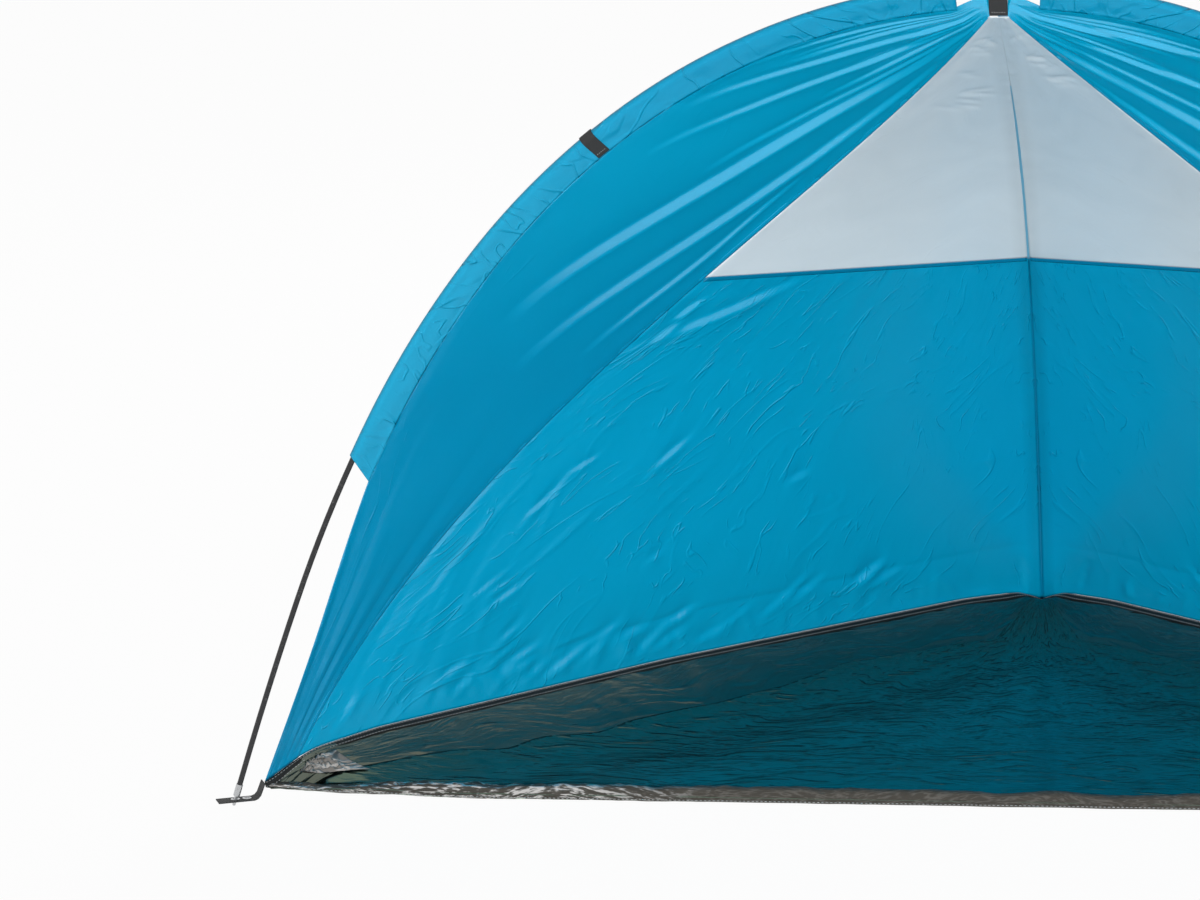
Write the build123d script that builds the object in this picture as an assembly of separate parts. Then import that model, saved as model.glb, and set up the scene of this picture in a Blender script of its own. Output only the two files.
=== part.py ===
"""Half-dome beach shelter on a front arch pole and a rear pole, in millimetres.

X runs to the right across the mouth, Y runs into the shelter and Z runs up from the ground.
The shelter is the same on both sides of the plane X = 0.
"""

import os
from math import atan2, cos, pi, radians, sin, tan

from build123d import *

# Overall size
ARCH_SPAN = 2200  # between the tips of the front pole
ARCH_RISE = 1160  # from the front tips up to the middle of the pole at its crown
DEPTH = 1235  # from the line of the front tips to the rear tip

# Poles
POLE_DIAMETER = 8
FRONT_SECTIONS = 6
REAR_SECTIONS = 3
POLE_ARCS = 12  # arcs that make up the bend of a pole
FRONT_FOOT_RUN = 40  # straight run above each front tip
REAR_FOOT_RUN = 92  # straight run at each end of the rear pole
REAR_BOW = 205  # bend of the rear pole away from its chord
REAR_TOP_BACK = 37  # end of the rear pole behind the front pole
REAR_TOP_DROP = 11  # and below it
FERRULE_LENGTH = 90
FERRULE_WALL = 0.8
FIT = 0.15  # play of a tube on a pole
PIN_DIAMETER = 5
PIN_LENGTH = 13
CAP_LENGTH = 18
CAP_WALL = 0.8
CAP_FLOOR = 2
CAP_EDGE = 0.4

# Cloth
CLOTH = 1.6  # thickness of a sheet
SEAM_PLAY = 0.3  # gap between two pieces of cloth at a seam
EDGE_PLAY = 0.8  # gap where one of them turns at the seam
SLEEVE_WIDTH = 36  # from the middle of a pole to the seam of its sleeve
SLEEVE_LEAN = radians(30)  # of the front sleeve to the rear
SLEEVE_WALL = 1
SLEEVE_FROM_CROWN = 58  # upper end of a front sleeve
SLEEVE_FROM_FOOT = 540  # lower end of a front sleeve
SLEEVE_SLANT = 24  # run of the slanted lower end
FREE_EDGE_HOLLOW = 9  # inward bow of the cloth's edge below a front sleeve
REAR_SLEEVE_FROM_FOOT = 560
RIDGE_HIGH_SHARES = (0.408, 0.275, 0.612)  # change of colour on the ridge, of half span, depth, height
RIDGE_LOW_SHARES = (0.707, 0.162, 0.347)  # lower point of the ridge seam
REAR_COLOUR_SHARE = 0.55  # place of the change of colour along the rear seam
RIDGE_FOOT = 60  # foot of the ridge seam, from the front corner of the floor
CLOTH_STATIONS = 24  # steps along a seam

# Floor
WALL_HEIGHT = 72  # of the raised side of the floor
FLOOR_BACK = 52  # front edge of the floor behind the front tips
FLOOR_STRAIGHT_SHARE = 0.8  # straight part of the front edge
HEM_WIDTH = 20
HEM_THICKNESS = 1.2

# Webbing
WEBBING = 1.5
TAB_WIDTH = 25
TAB_HEIGHT = 8  # of the flat part above the ground
TAB_BEND = 28  # from the tip to the bend
TAB_END = 26  # from the tip to the free end
TAB_TOP = 31  # upper end of the rear tab above the ground
PEG_HOLE = 17  # from the tip to the hole for a peg
APEX_STRAP_WIDTH = 25
APEX_STRAP_SHORT = 3  # of the tops of the panels
SLEEVE_STRAP_WIDTH = 20
SLEEVE_STRAP_FROM_CROWN = 610
SLEEVE_STRAP_SHORT = 3  # of the seam

# Eyelets
EYELET_BORE = 7.6
EYELET_WALL = 1
EYELET_FLANGE = 1.8
EYELET_FLANGE_THICKNESS = 0.6
EYELET_PLAY = 0.1

# Sizes that follow
FOOT_HEIGHT = PIN_DIAMETER / 2
CROWN_HEIGHT = FOOT_HEIGHT + ARCH_RISE
FERRULE_RADIUS = POLE_DIAMETER / 2 + FIT + FERRULE_WALL
CHANNEL_RADIUS = FERRULE_RADIUS + SEAM_PLAY
SLEEVE_RADIUS = CHANNEL_RADIUS + SLEEVE_WALL
FRONT_Y = -DEPTH / 2
REAR_Y = FRONT_Y + DEPTH
REAR_TOP = Vector(0, FRONT_Y + REAR_TOP_BACK, CROWN_HEIGHT - REAR_TOP_DROP)
REAR_TIP = Vector(0, REAR_Y, FOOT_HEIGHT)


def arc_step(length, start, end):
    """Step along and up of an arc of this length that turns between two headings."""
    turn = end - start
    chord = length * sin(turn / 2) / (turn / 2)
    return chord * cos(start + turn / 2), chord * sin(start + turn / 2)


def headings(foot_angle):
    """Headings at the ends of the arcs, from one foot over the crown to the other."""
    return [foot_angle * cos(pi * i / POLE_ARCS) for i in range(POLE_ARCS + 1)]


class Pole:
    """A rod bent between two tips.

    Its heading falls as a cosine of the length, which is close to the true bend of a springy
    rod that is held only at its tips. The bend is drawn as arcs that run on into each other.
    """

    def __init__(self, plane, chord, bow, foot_run):
        self.plane = plane
        low, high = 0, pi / 2
        for _ in range(60):
            angle = (low + high) / 2
            turns = headings(angle)
            steps = [arc_step(1, *pair) for pair in zip(turns, turns[1:])]
            reach = sum(step[0] for step in steps)
            rise = sum(step[1] for step in steps[: POLE_ARCS // 2])
            arc = (chord - foot_run * cos(angle) * 2) / reach
            if arc * rise + foot_run * sin(angle) < bow:
                low = angle
            else:
                high = angle
        self.foot_angle = angle
        self.arc = arc
        self.foot_run = foot_run
        self.ends = [(-chord / 2, 0), (chord / 2, 0)]
        along = foot_run * cos(angle) - chord / 2
        up = foot_run * sin(angle)
        self.stations = [(along, up, angle)]
        for first, last in zip(turns, turns[1:]):
            middle = (first + last) / 2
            for pair in ((first, middle), (middle, last)):
                step = arc_step(arc / 2, *pair)
                along += step[0]
                up += step[1]
                self.stations.append((along, up, pair[1]))
        places = [self.place(*station[:2]) for station in self.stations]
        self.arcs = [
            ThreePointArc(*places[i : i + 3]) for i in range(0, len(places) - 1, 2)
        ]
        self.length = arc * POLE_ARCS + foot_run * 2

    def place(self, along, up, out=0):
        """Point of the pole's plane in the shelter's frame."""
        return self.plane.from_local_coords(Vector(along, up, out))

    def tip(self, end):
        """Plane at a tip, with Z along the pole and into it."""
        angle = self.foot_angle if end == 0 else pi - self.foot_angle
        origin = self.place(*self.ends[end])
        return Plane(origin, x_dir=self.plane.z_dir, z_dir=self.place(
            self.ends[end][0] + cos(angle), sin(angle)) - origin)

    def foot_line(self, end, start):
        """Straight run at a tip, from this far above the tip up to the first arc."""
        frame = self.tip(end)
        return Line(
            frame.from_local_coords(Vector(0, 0, start)),
            frame.from_local_coords(Vector(0, 0, self.foot_run)),
        )

    def stretch(self, start, end):
        """Edges of the pole between two lengths from its first tip, over arcs only."""
        edges = []
        for i, edge in enumerate(self.arcs):
            first = (start - self.foot_run) / self.arc - i
            last = (end - self.foot_run) / self.arc - i
            if first < 1 and last > 0:
                edges.append(edge.trim(max(first, 0), min(last, 1)))
        return edges

    def seam(self, station, lean, hollow=0):
        """Point of the sleeve's seam beside a station, or this much further in."""
        along, up, heading = station
        inward = SLEEVE_WIDTH * cos(lean) + hollow
        return self.place(
            along + inward * sin(heading),
            up - inward * cos(heading),
            -SLEEVE_WIDTH * sin(lean),
        )

    def frame_at(self, edge, share, lean):
        """Plane across the pole with X towards the seam and Z along the pole."""
        tangent = edge % share
        inward = tangent.cross(self.plane.z_dir)
        return Plane(
            edge @ share,
            x_dir=inward * cos(lean) - self.plane.z_dir * sin(lean),
            z_dir=tangent,
        )


def swept(profile, frame, edges):
    """Profile drawn on a frame and carried along edges."""
    return sweep(frame * profile, path=Wire(edges))


def pole_section(pole, index, count, starts):
    """One rod of a pole that comes apart, with its straight run at a tip."""
    share = POLE_ARCS // count
    edges = list(pole.arcs[index * share : (index + 1) * share])
    if index == 0:
        edges = [pole.foot_line(0, starts[0])] + edges
    if index == count - 1:
        foot = pole.foot_line(1, starts[1])
        edges = edges + [Line(foot @ 1, foot @ 0)]
    return swept(Circle(POLE_DIAMETER / 2), pole.frame_at(edges[0], 0, 0), edges)


def ferrule(pole, index, count):
    """Tube over the joint between two rods."""
    joint = pole.foot_run + pole.arc * POLE_ARCS * index / count
    edges = pole.stretch(joint - FERRULE_LENGTH / 2, joint + FERRULE_LENGTH / 2)
    ring = Circle(FERRULE_RADIUS) - Circle(POLE_DIAMETER / 2 + FIT)
    return swept(ring, pole.frame_at(edges[0], 0, 0), edges)


def pole_tip(pole, end, pin_length):
    """Cup on the end of a pole, with a round-ended pin where it stands in an eyelet."""
    bore = POLE_DIAMETER / 2 + FIT
    low = Align.MIN
    upright = (Align.CENTER, Align.CENTER, low)
    cup = Cylinder(bore + CAP_WALL, CAP_LENGTH, align=upright)
    cup = chamfer(cup.edges().sort_by(Axis.Z)[0], CAP_EDGE)
    cup -= Pos(0, 0, CAP_FLOOR) * Cylinder(bore, CAP_LENGTH, align=upright)
    cup = Pos(0, 0, pin_length) * cup
    if pin_length:
        pin = Cylinder(PIN_DIAMETER / 2, pin_length, align=upright)
        cup += pin + Sphere(PIN_DIAMETER / 2)
    return pole.tip(end).location * cup


def sleeve_outline(grow, width):
    """Cross section of a sleeve: round about the pole, with a flat tail to the seam."""
    tail = Rectangle(width, CLOTH + grow * 2, align=(Align.MIN, Align.CENTER))
    return Circle(SLEEVE_RADIUS + grow) + tail


def front_sleeve():
    """Left front sleeve, open at both ends, the lower one slanted."""
    crown = front.length / 2
    edges = front.stretch(
        SLEEVE_FROM_FOOT - SLEEVE_SLANT, crown - SLEEVE_FROM_CROWN
    )
    profile = sleeve_outline(0, SLEEVE_WIDTH - EDGE_PLAY) - Circle(CHANNEL_RADIUS)
    frame = front.frame_at(edges[0], 0, SLEEVE_LEAN)
    sleeve = swept(profile, frame, edges)
    slant = atan2(SLEEVE_SLANT, SLEEVE_WIDTH)
    ahead = frame.z_dir * SLEEVE_SLANT
    cut = Plane(
        frame.origin + ahead,
        x_dir=frame.y_dir,
        z_dir=frame.z_dir * cos(slant) + frame.x_dir * sin(slant),
    )
    return split(sleeve, bisect_by=cut, keep=Keep.TOP)


def rear_sleeve():
    """Sleeve of the rear pole, closed at the top where the pole pushes into it."""
    end = rear.length - REAR_SLEEVE_FROM_FOOT
    arcs = rear.stretch(rear.foot_run, end)
    channel = [rear.foot_line(0, 0)] + arcs
    outside = [rear.foot_line(0, -SLEEVE_WALL)] + arcs
    tail = SLEEVE_WIDTH - CLOTH - SEAM_PLAY
    body = swept(sleeve_outline(0, tail), rear.frame_at(outside[0], 0, 0), outside)
    return body - swept(
        Circle(CHANNEL_RADIUS), rear.frame_at(channel[0], 0, 0), channel
    )


def sleeve_strap():
    """Webbing that is sewn in at the seam and goes round the left front sleeve."""
    place = front.length / 2 - SLEEVE_STRAP_FROM_CROWN
    edge = front.stretch(place, place + SLEEVE_STRAP_WIDTH)[0]
    frame = front.frame_at(edge, 0, SLEEVE_LEAN)
    width = SLEEVE_WIDTH - SLEEVE_STRAP_SHORT
    band = sleeve_outline(SEAM_PLAY + WEBBING, width)
    band -= sleeve_outline(SEAM_PLAY, SLEEVE_WIDTH)
    return extrude(frame * band, SLEEVE_STRAP_WIDTH / 2, both=True)


def apex_strap():
    """Webbing round the crown of the front pole that holds the tops of the panels."""
    reach = apex - crown
    frame = Plane(crown, x_dir=reach, z_dir=(1, 0, 0))
    loop = FERRULE_RADIUS + SEAM_PLAY
    tail = Rectangle(
        reach.length - APEX_STRAP_SHORT, WEBBING * 2, align=(Align.MIN, Align.CENTER)
    )
    profile = Circle(loop + WEBBING) + tail - Circle(loop)
    return extrude(frame * profile, APEX_STRAP_WIDTH / 2, both=True)


def tab(frame, corner, top):
    """Webbing from a corner of the floor out to a tip, with holes for two eyelets."""
    rise = top - TAB_HEIGHT
    outline = Polyline(
        (-corner, rise),
        (-TAB_BEND, 0),
        (TAB_END, 0),
        (TAB_END, WEBBING),
        (-TAB_BEND, WEBBING),
        (-corner, rise + WEBBING),
        close=True,
    )
    side = Plane(frame.origin, x_dir=frame.x_dir, z_dir=-frame.y_dir)
    strip = extrude(side * make_face(outline), TAB_WIDTH / 2, both=True)
    radius = EYELET_BORE / 2 + EYELET_WALL + EYELET_PLAY
    for place in (0, -PEG_HOLE):
        strip -= frame * (Pos(place, 0, 0) * Cylinder(radius, TAB_HEIGHT))
    return strip


def eyelets(frame):
    """Two metal eyelets clenched through a tab."""
    height = WEBBING + EYELET_PLAY * 2
    radius = EYELET_BORE / 2 + EYELET_WALL
    middle = Pos(0, 0, WEBBING / 2)
    flange = Cylinder(radius + EYELET_FLANGE, EYELET_FLANGE_THICKNESS)
    shift = (height + EYELET_FLANGE_THICKNESS) / 2
    eyelet = Cylinder(radius, height)
    eyelet += Pos(0, 0, shift) * flange
    eyelet += Pos(0, 0, -shift) * flange
    eyelet -= Cylinder(EYELET_BORE / 2, height * 2 + TAB_HEIGHT)
    return [frame * (Pos(place, 0, 0) * (middle * eyelet)) for place in (0, -PEG_HOLE)]


def ruled_panel(inner_a, inner_b, outward_a, outward_b):
    """Sheet stretched between two seams, closed all round, with its thickness outward."""
    outer_a = [point + way * CLOTH for point, way in zip(inner_a, outward_a)]
    outer_b = [point + way * CLOTH for point, way in zip(inner_b, outward_b)]
    lines = [inner_a, inner_b, outer_b, outer_a]
    seams = [Spline(*points) for points in lines]
    faces = [
        Face.make_surface_from_curves(first, second)
        for first, second in zip(seams, seams[1:] + seams[:1])
    ]
    for end in (0, -1):
        faces.append(
            Face.make_surface_from_curves(
                Edge.make_line(inner_a[end], inner_b[end]),
                Edge.make_line(outer_a[end], outer_b[end]),
            )
        )
    return Solid(Shell(faces))


def between(curve, start, end, steps):
    """Points along a curve between two shares of its length."""
    return [curve @ (start + (end - start) * i / steps) for i in range(steps + 1)]


def ways(curve, points, targets, outward):
    """Directions across a sheet at points of its seam, on its outer side."""
    found = []
    for point, target in zip(points, targets):
        across = (curve % curve.param_at_point(point)).cross(target - point).normalized()
        found.append(across if across.dot(outward) > 0 else -across)
    return found


# Poles in their planes
front = Pole(
    Plane((0, FRONT_Y, FOOT_HEIGHT), x_dir=(1, 0, 0), z_dir=(0, -1, 0)),
    ARCH_SPAN,
    ARCH_RISE,
    FRONT_FOOT_RUN,
)
rear_chord = REAR_TIP - REAR_TOP
rear = Pole(
    Plane(REAR_TOP + rear_chord / 2, x_dir=rear_chord, z_dir=(1, 0, 0)),
    rear_chord.length,
    REAR_BOW,
    REAR_FOOT_RUN,
)
crown = Vector(0, FRONT_Y, CROWN_HEIGHT)

# Seams of the left half
apex = rear.seam((*rear.ends[0], rear.foot_angle), 0)
strap_side = Vector(-APEX_STRAP_WIDTH / 2 - SEAM_PLAY, 0, 0)
centre_gap = Vector(-SEAM_PLAY / 2, 0, 0)
free_edge = SLEEVE_FROM_FOOT - FRONT_FOOT_RUN - SLEEVE_SLANT
arch_points = []
for i, station in enumerate(front.stations[: POLE_ARCS + 1]):
    place = min(front.arc * i / 2, free_edge)
    hollow = FREE_EDGE_HOLLOW * sin(pi * place / free_edge)
    arch_points.append(front.seam(station, SLEEVE_LEAN, hollow))
arch_points[-1] = arch_points[-1] + strap_side
arch_edge = Spline(*reversed(arch_points))
corner = arch_points[0]
rear_points = [apex] + [rear.seam(station, 0) for station in rear.stations]
rear_edge = Spline(*rear_points)
rear_corner = rear_edge @ 1
wall_run = Vector(rear_corner.X - corner.X, rear_corner.Y - corner.Y, 0)
wall_way = wall_run.normalized()
ridge_foot = Vector(corner.X, corner.Y, WALL_HEIGHT) + wall_way * RIDGE_FOOT
ridge_points = [
    Vector(
        -shares[0] * ARCH_SPAN / 2,
        FRONT_Y + shares[1] * DEPTH,
        shares[2] * CROWN_HEIGHT,
    )
    for shares in (RIDGE_HIGH_SHARES, RIDGE_LOW_SHARES)
]
ridge = Spline(apex + strap_side, *ridge_points, ridge_foot)
colour_share = ridge.param_at_point(ridge_points[0])
outside = Vector(-1, 1, 1)

# Panels of the left half
steps = CLOTH_STATIONS
arch_line = between(arch_edge, 0, 1, steps)
ridge_line = between(ridge, 0, 1, steps)


def rear_share(share):
    """Place along the rear seam that faces a place along the ridge seam."""
    if share <= colour_share:
        return REAR_COLOUR_SHARE * share / colour_share
    return 1 - (1 - REAR_COLOUR_SHARE) * (1 - share) / (1 - colour_share)


def ridge_ways(start, end, count):
    """Directions across the cloth along a part of the ridge seam."""
    shares = [start + (end - start) * i / count for i in range(count + 1)]
    faced = [rear_edge @ rear_share(share) for share in shares]
    return ways(ridge, between(ridge, start, end, count), faced, outside)


def rear_ways(points):
    """Directions at points of the rear seam, in the middle plane of the shelter."""
    found = []
    for point in points:
        tangent = rear_edge % rear_edge.param_at_point(point)
        found.append(Vector(0, -tangent.Z, tangent.Y))
    return found


def back_panel(start, end, count):
    """Panel of the back between two shares of the ridge seam, out to the rear seam."""
    ridge_part = between(ridge, start, end, count)
    rear_part = between(rear_edge, rear_share(start), rear_share(end), count)
    ridge_seam = [
        point + (target - point).normalized() * SEAM_PLAY
        for point, target in zip(ridge_part, rear_part)
    ]
    return ruled_panel(
        ridge_seam,
        [point + centre_gap for point in rear_part],
        ridge_ways(start, end, count),
        rear_ways(rear_part),
    )


def front_gore():
    """Panel between the sleeve of the front pole and the ridge seam."""
    return ruled_panel(
        arch_line,
        ridge_line,
        ways(arch_edge, arch_line, ridge_line, outside),
        ridge_ways(0, 1, steps),
    )


def side_wall():
    """Raised side of the floor on the left, lower at the front corner."""
    drop = CLOTH + EDGE_PLAY
    start = Vector(corner.X, corner.Y, CLOTH)
    frame = Plane(start, x_dir=wall_way, z_dir=wall_way.cross(Vector(0, 0, 1)))
    outline = Polyline(
        (0, 0),
        (wall_run.length, 0),
        (wall_run.length, rear_corner.Z - drop),
        (RIDGE_FOOT, WALL_HEIGHT - drop),
        (0, corner.Z - drop),
        close=True,
    )
    return extrude(frame * make_face(outline), -CLOTH)


def floor_outline():
    """Plan of the floor, with its front edge cut back between the corners."""
    edge = FLOOR_STRAIGHT_SHARE * ARCH_SPAN / 2
    return make_face(
        Polyline(
            (corner.X, corner.Y),
            (-edge, FRONT_Y + FLOOR_BACK),
            (edge, FRONT_Y + FLOOR_BACK),
            (-corner.X, corner.Y),
            (0, rear_corner.Y),
            close=True,
        )
    )


def floor_sheet():
    """Flat part of the floor, out to the outer faces of its raised sides."""
    return extrude(offset(floor_outline(), CLOTH, kind=Kind.INTERSECTION), CLOTH)


def front_hem():
    """Fold that is sewn down along the front edge of the floor."""
    length = FLOOR_STRAIGHT_SHARE * ARCH_SPAN
    return Pos(0, FRONT_Y + FLOOR_BACK + HEM_WIDTH / 2, CLOTH + HEM_THICKNESS / 2) * Box(
        length, HEM_WIDTH, HEM_THICKNESS
    )


def corner_frame():
    """Plane of the left front tab, with its origin under the tip and X away from the floor."""
    lean = (TAB_HEIGHT + WEBBING / 2 - FOOT_HEIGHT) / tan(front.foot_angle)
    origin = Vector(lean - ARCH_SPAN / 2, FRONT_Y, TAB_HEIGHT)
    way = Vector(origin.X - corner.X, origin.Y - corner.Y, 0)
    return Plane(origin, x_dir=way, z_dir=(0, 0, 1)), way.length


def rear_frame():
    """Plane of the rear tab."""
    heading = rear.tip(1).z_dir
    lean = (TAB_HEIGHT + WEBBING / 2 - FOOT_HEIGHT) * heading.Y / heading.Z
    origin = Vector(0, REAR_Y + lean, TAB_HEIGHT)
    return Plane(origin, x_dir=(0, 1, 0), z_dir=(0, 0, 1)), origin.Y - rear_corner.Y


def right_of(shape):
    """The same piece on the right."""
    return mirror(shape, about=Plane.YZ)


nodes = {}
for i in range(FRONT_SECTIONS):
    starts = [PIN_LENGTH + CAP_FLOOR] * 2
    nodes[f"front_pole_section_{i + 1}"] = pole_section(front, i, FRONT_SECTIONS, starts)
for i in range(1, FRONT_SECTIONS):
    nodes[f"front_pole_ferrule_{i}"] = ferrule(front, i, FRONT_SECTIONS)
nodes["front_pole_tip_left"] = pole_tip(front, 0, PIN_LENGTH)
nodes["front_pole_tip_right"] = pole_tip(front, 1, PIN_LENGTH)
for i in range(REAR_SECTIONS):
    starts = [CAP_FLOOR, PIN_LENGTH + CAP_FLOOR]
    nodes[f"rear_pole_section_{i + 1}"] = pole_section(rear, i, REAR_SECTIONS, starts)
for i in range(1, REAR_SECTIONS):
    nodes[f"rear_pole_ferrule_{i}"] = ferrule(rear, i, REAR_SECTIONS)
nodes["rear_pole_end_cap"] = pole_tip(rear, 0, 0)
nodes["rear_pole_tip"] = pole_tip(rear, 1, PIN_LENGTH)

nodes["front_sleeve_left"] = front_sleeve()
nodes["rear_sleeve"] = rear_sleeve()
nodes["sleeve_strap_left"] = sleeve_strap()
nodes["apex_strap"] = apex_strap()
nodes["front_gore_left"] = front_gore()
nodes["upper_back_panel_left"] = back_panel(0, colour_share, steps // 2)
nodes["lower_back_panel_left"] = back_panel(colour_share, 1, steps // 2)
nodes["floor_wall_left"] = side_wall()
nodes["floor_sheet"] = floor_sheet()
nodes["floor_front_hem"] = front_hem()

frame, reach = corner_frame()
nodes["foot_tab_left"] = tab(frame, reach - CLOTH - SEAM_PLAY, corner.Z)
nodes["foot_eyelets_left"] = Compound(children=eyelets(frame))
frame, reach = rear_frame()
nodes["foot_tab_rear"] = tab(frame, reach - CLOTH - SEAM_PLAY, TAB_TOP)
nodes["foot_eyelets_rear"] = Compound(children=eyelets(frame))

for name in [name for name in nodes if name.endswith("_left") and "pole" not in name]:
    nodes[name.replace("_left", "_right")] = right_of(nodes[name])

os.makedirs("parts", exist_ok=True)
for name, shape in nodes.items():
    export_step(shape, f"parts/{name}.step")
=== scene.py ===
"""Half-dome beach shelter: cloth, groundsheet, webbing, finishes, light and camera.

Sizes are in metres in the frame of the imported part: X to the right across the mouth,
Y into the shelter and Z up from the ground. The left half is worked out and mirrored.
"""

import logging
import math
import random
from abc import ABC, abstractmethod
from collections.abc import Callable, Sequence
from dataclasses import dataclass, replace
from enum import Enum

import bmesh
import bpy
import numpy as np
from mathutils import Matrix, Vector


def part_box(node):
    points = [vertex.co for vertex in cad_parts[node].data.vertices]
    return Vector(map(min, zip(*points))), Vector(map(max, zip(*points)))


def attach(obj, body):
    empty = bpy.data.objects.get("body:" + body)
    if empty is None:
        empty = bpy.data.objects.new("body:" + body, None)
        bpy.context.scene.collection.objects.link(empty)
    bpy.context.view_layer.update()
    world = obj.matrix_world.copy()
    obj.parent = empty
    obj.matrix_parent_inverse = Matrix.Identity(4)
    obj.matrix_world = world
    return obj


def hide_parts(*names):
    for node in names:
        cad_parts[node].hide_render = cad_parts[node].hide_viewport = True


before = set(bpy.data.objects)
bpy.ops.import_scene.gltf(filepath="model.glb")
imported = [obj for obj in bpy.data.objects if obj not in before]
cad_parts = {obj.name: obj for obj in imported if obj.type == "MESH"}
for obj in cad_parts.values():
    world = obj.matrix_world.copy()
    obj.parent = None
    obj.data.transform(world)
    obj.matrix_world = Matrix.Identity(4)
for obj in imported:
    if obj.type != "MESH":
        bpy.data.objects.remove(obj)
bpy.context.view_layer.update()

log = logging.getLogger("shelter")

Array = np.ndarray
# Gives one point to a row for shares u and v of a piece.
Surface = Callable[[Array, Array], Array]
Triple = tuple[float, float, float]
Colour = Triple
Span = tuple[float, float]
Cells = tuple[int, int]
Path = tuple[Span, ...]
Material, Mesh = bpy.types.Material, bmesh.types.BMesh
Node, Socket, Tree = bpy.types.Node, bpy.types.NodeSocket, bpy.types.NodeTree

BODY = "root"
X_WAY, Y_WAY, Z_WAY = Vector((1, 0, 0)), Vector((0, 1, 0)), Vector((0, 0, 1))


class Side(Enum):
    """A half of the shelter."""

    LEFT = "left"
    RIGHT = "right"

    @property
    def mirrored(self) -> bool:
        """Whether the half is the mirror of the one that is worked out."""
        return self is Side.RIGHT

    @property
    def flip(self) -> Array:
        """Factors that take points of the left half to this one."""
        return np.array([-1.0 if self.mirrored else 1.0, 1.0, 1.0])


class Run(Enum):
    """The way in which a fold runs over a panel."""

    ALONG = "along the seams"
    ACROSS = "from seam to seam"


class FoldShape(Enum):
    """Section of a fold."""

    RIB = "rounded rib"
    FACET = "flat facet between two crease lines"


class Slot(Enum):
    """Material slots of the part's record, passed along with new pieces."""

    BLUE = "blue_cloth"
    GREY = "grey_cloth"
    GROUNDSHEET = "groundsheet"
    WEBBING = "webbing"


@dataclass(frozen=True)
class Sizes:
    """Driving sizes of the shelter, as in the part's source."""

    span: float = 2.2
    rise: float = 1.16
    depth: float = 1.235
    front_foot_run: float = 0.040
    rear_foot_run: float = 0.092
    rear_bow: float = 0.205
    rear_top_back: float = 0.037
    rear_top_drop: float = 0.011
    pin_diameter: float = 0.005
    sleeve_width: float = 0.036
    sleeve_lean: float = math.radians(30)
    sleeve_radius: float = 0.00625
    sleeve_from_crown: float = 0.058
    sleeve_from_foot: float = 0.540
    sleeve_slant: float = 0.024
    free_edge_hollow: float = 0.009
    rear_sleeve_from_foot: float = 0.560
    ridge_high: Triple = (0.408, 0.275, 0.612)
    ridge_low: Triple = (0.707, 0.162, 0.347)
    rear_colour: float = 0.55
    ridge_foot: float = 0.060
    floor_back: float = 0.052
    floor_straight: float = 0.8
    hem_width: float = 0.020
    tab_width: float = 0.025
    tab_height: float = 0.008
    tab_bend: float = 0.028
    tab_end: float = 0.026
    rear_tab_top: float = 0.031
    peg_hole: float = 0.017
    webbing: float = 0.0015
    apex_strap_width: float = 0.025
    sleeve_strap_width: float = 0.020
    sleeve_strap_from_crown: float = 0.610

    @property
    def foot_height(self) -> float:
        """Height of the pole tips above the ground."""
        return self.pin_diameter / 2

    @property
    def front_y(self) -> float:
        """Y of the front tips."""
        return -self.depth / 2


SIZES = Sizes()


def smooth_step(low: float, high: float, value: Array) -> Array:
    """Rises smoothly from 0 at low to 1 at high."""
    share = np.clip((value - low) / (high - low), 0, 1)
    return share * share * (3 - 2 * share)


class SmoothNoise:
    """Seeded noise over a plane, from -1 to 1, with cells of size 1."""

    LAYER_SCALE = 2.03
    LAYER_SHIFT = (7.3, -3.1)

    def __init__(self, seed: int, cells: int = 97) -> None:
        """Draws the lattice.

        Args:
            seed: Seed of the lattice.
            cells: Cells after which the noise repeats.
        """
        self.cells = cells
        self.lattice = np.random.default_rng(seed).uniform(-1, 1, (cells, cells))

    def at(self, x: Array, y: Array) -> Array:
        """Noise at points.

        Args:
            x: First coordinates, in cells.
            y: Second coordinates, in cells.

        Returns:
            A value for each point.
        """
        column, row = np.floor(x).astype(int), np.floor(y).astype(int)
        across, up = smooth_step(0, 1, x - column), smooth_step(0, 1, y - row)
        grid = [
            [self.lattice[(column + i) % self.cells, (row + j) % self.cells] for j in (0, 1)]
            for i in (0, 1)
        ]
        low = grid[0][0] * (1 - across) + grid[1][0] * across
        high = grid[0][1] * (1 - across) + grid[1][1] * across
        return low * (1 - up) + high * up

    def layered(self, x: Array, y: Array, layers: int = 3) -> Array:
        """Sum of finer and weaker layers of the noise at points."""
        total = np.zeros_like(x)
        for layer in range(layers):
            scale = self.LAYER_SCALE**layer
            right, up = (shift * layer for shift in self.LAYER_SHIFT)
            total = total + self.at(x * scale + right, y * scale + up) / scale
        return total


class Seam:
    """A line in space, read by the share of its length."""

    def __init__(self, points: Array) -> None:
        """Keeps points of the line, close together.

        Args:
            points: Points in order, one to a row.
        """
        self.points = points
        steps = np.linalg.norm(np.diff(points, axis=0), axis=1)
        run = np.concatenate([[0.0], np.cumsum(steps)])
        self.length = float(run[-1])
        self.shares = run / run[-1]

    def at(self, shares: Array) -> Array:
        """Points at shares of the length, one to a row."""
        return np.stack([np.interp(shares, self.shares, self.points[:, i]) for i in range(3)], axis=-1)

    def way(self, shares: Array, step: float = 0.002) -> Array:
        """Unit tangents at shares of the length."""
        ahead = self.at(np.clip(shares + step, 0, 1)) - self.at(np.clip(shares - step, 0, 1))
        return ahead / np.linalg.norm(ahead, axis=-1, keepdims=True)


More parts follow.
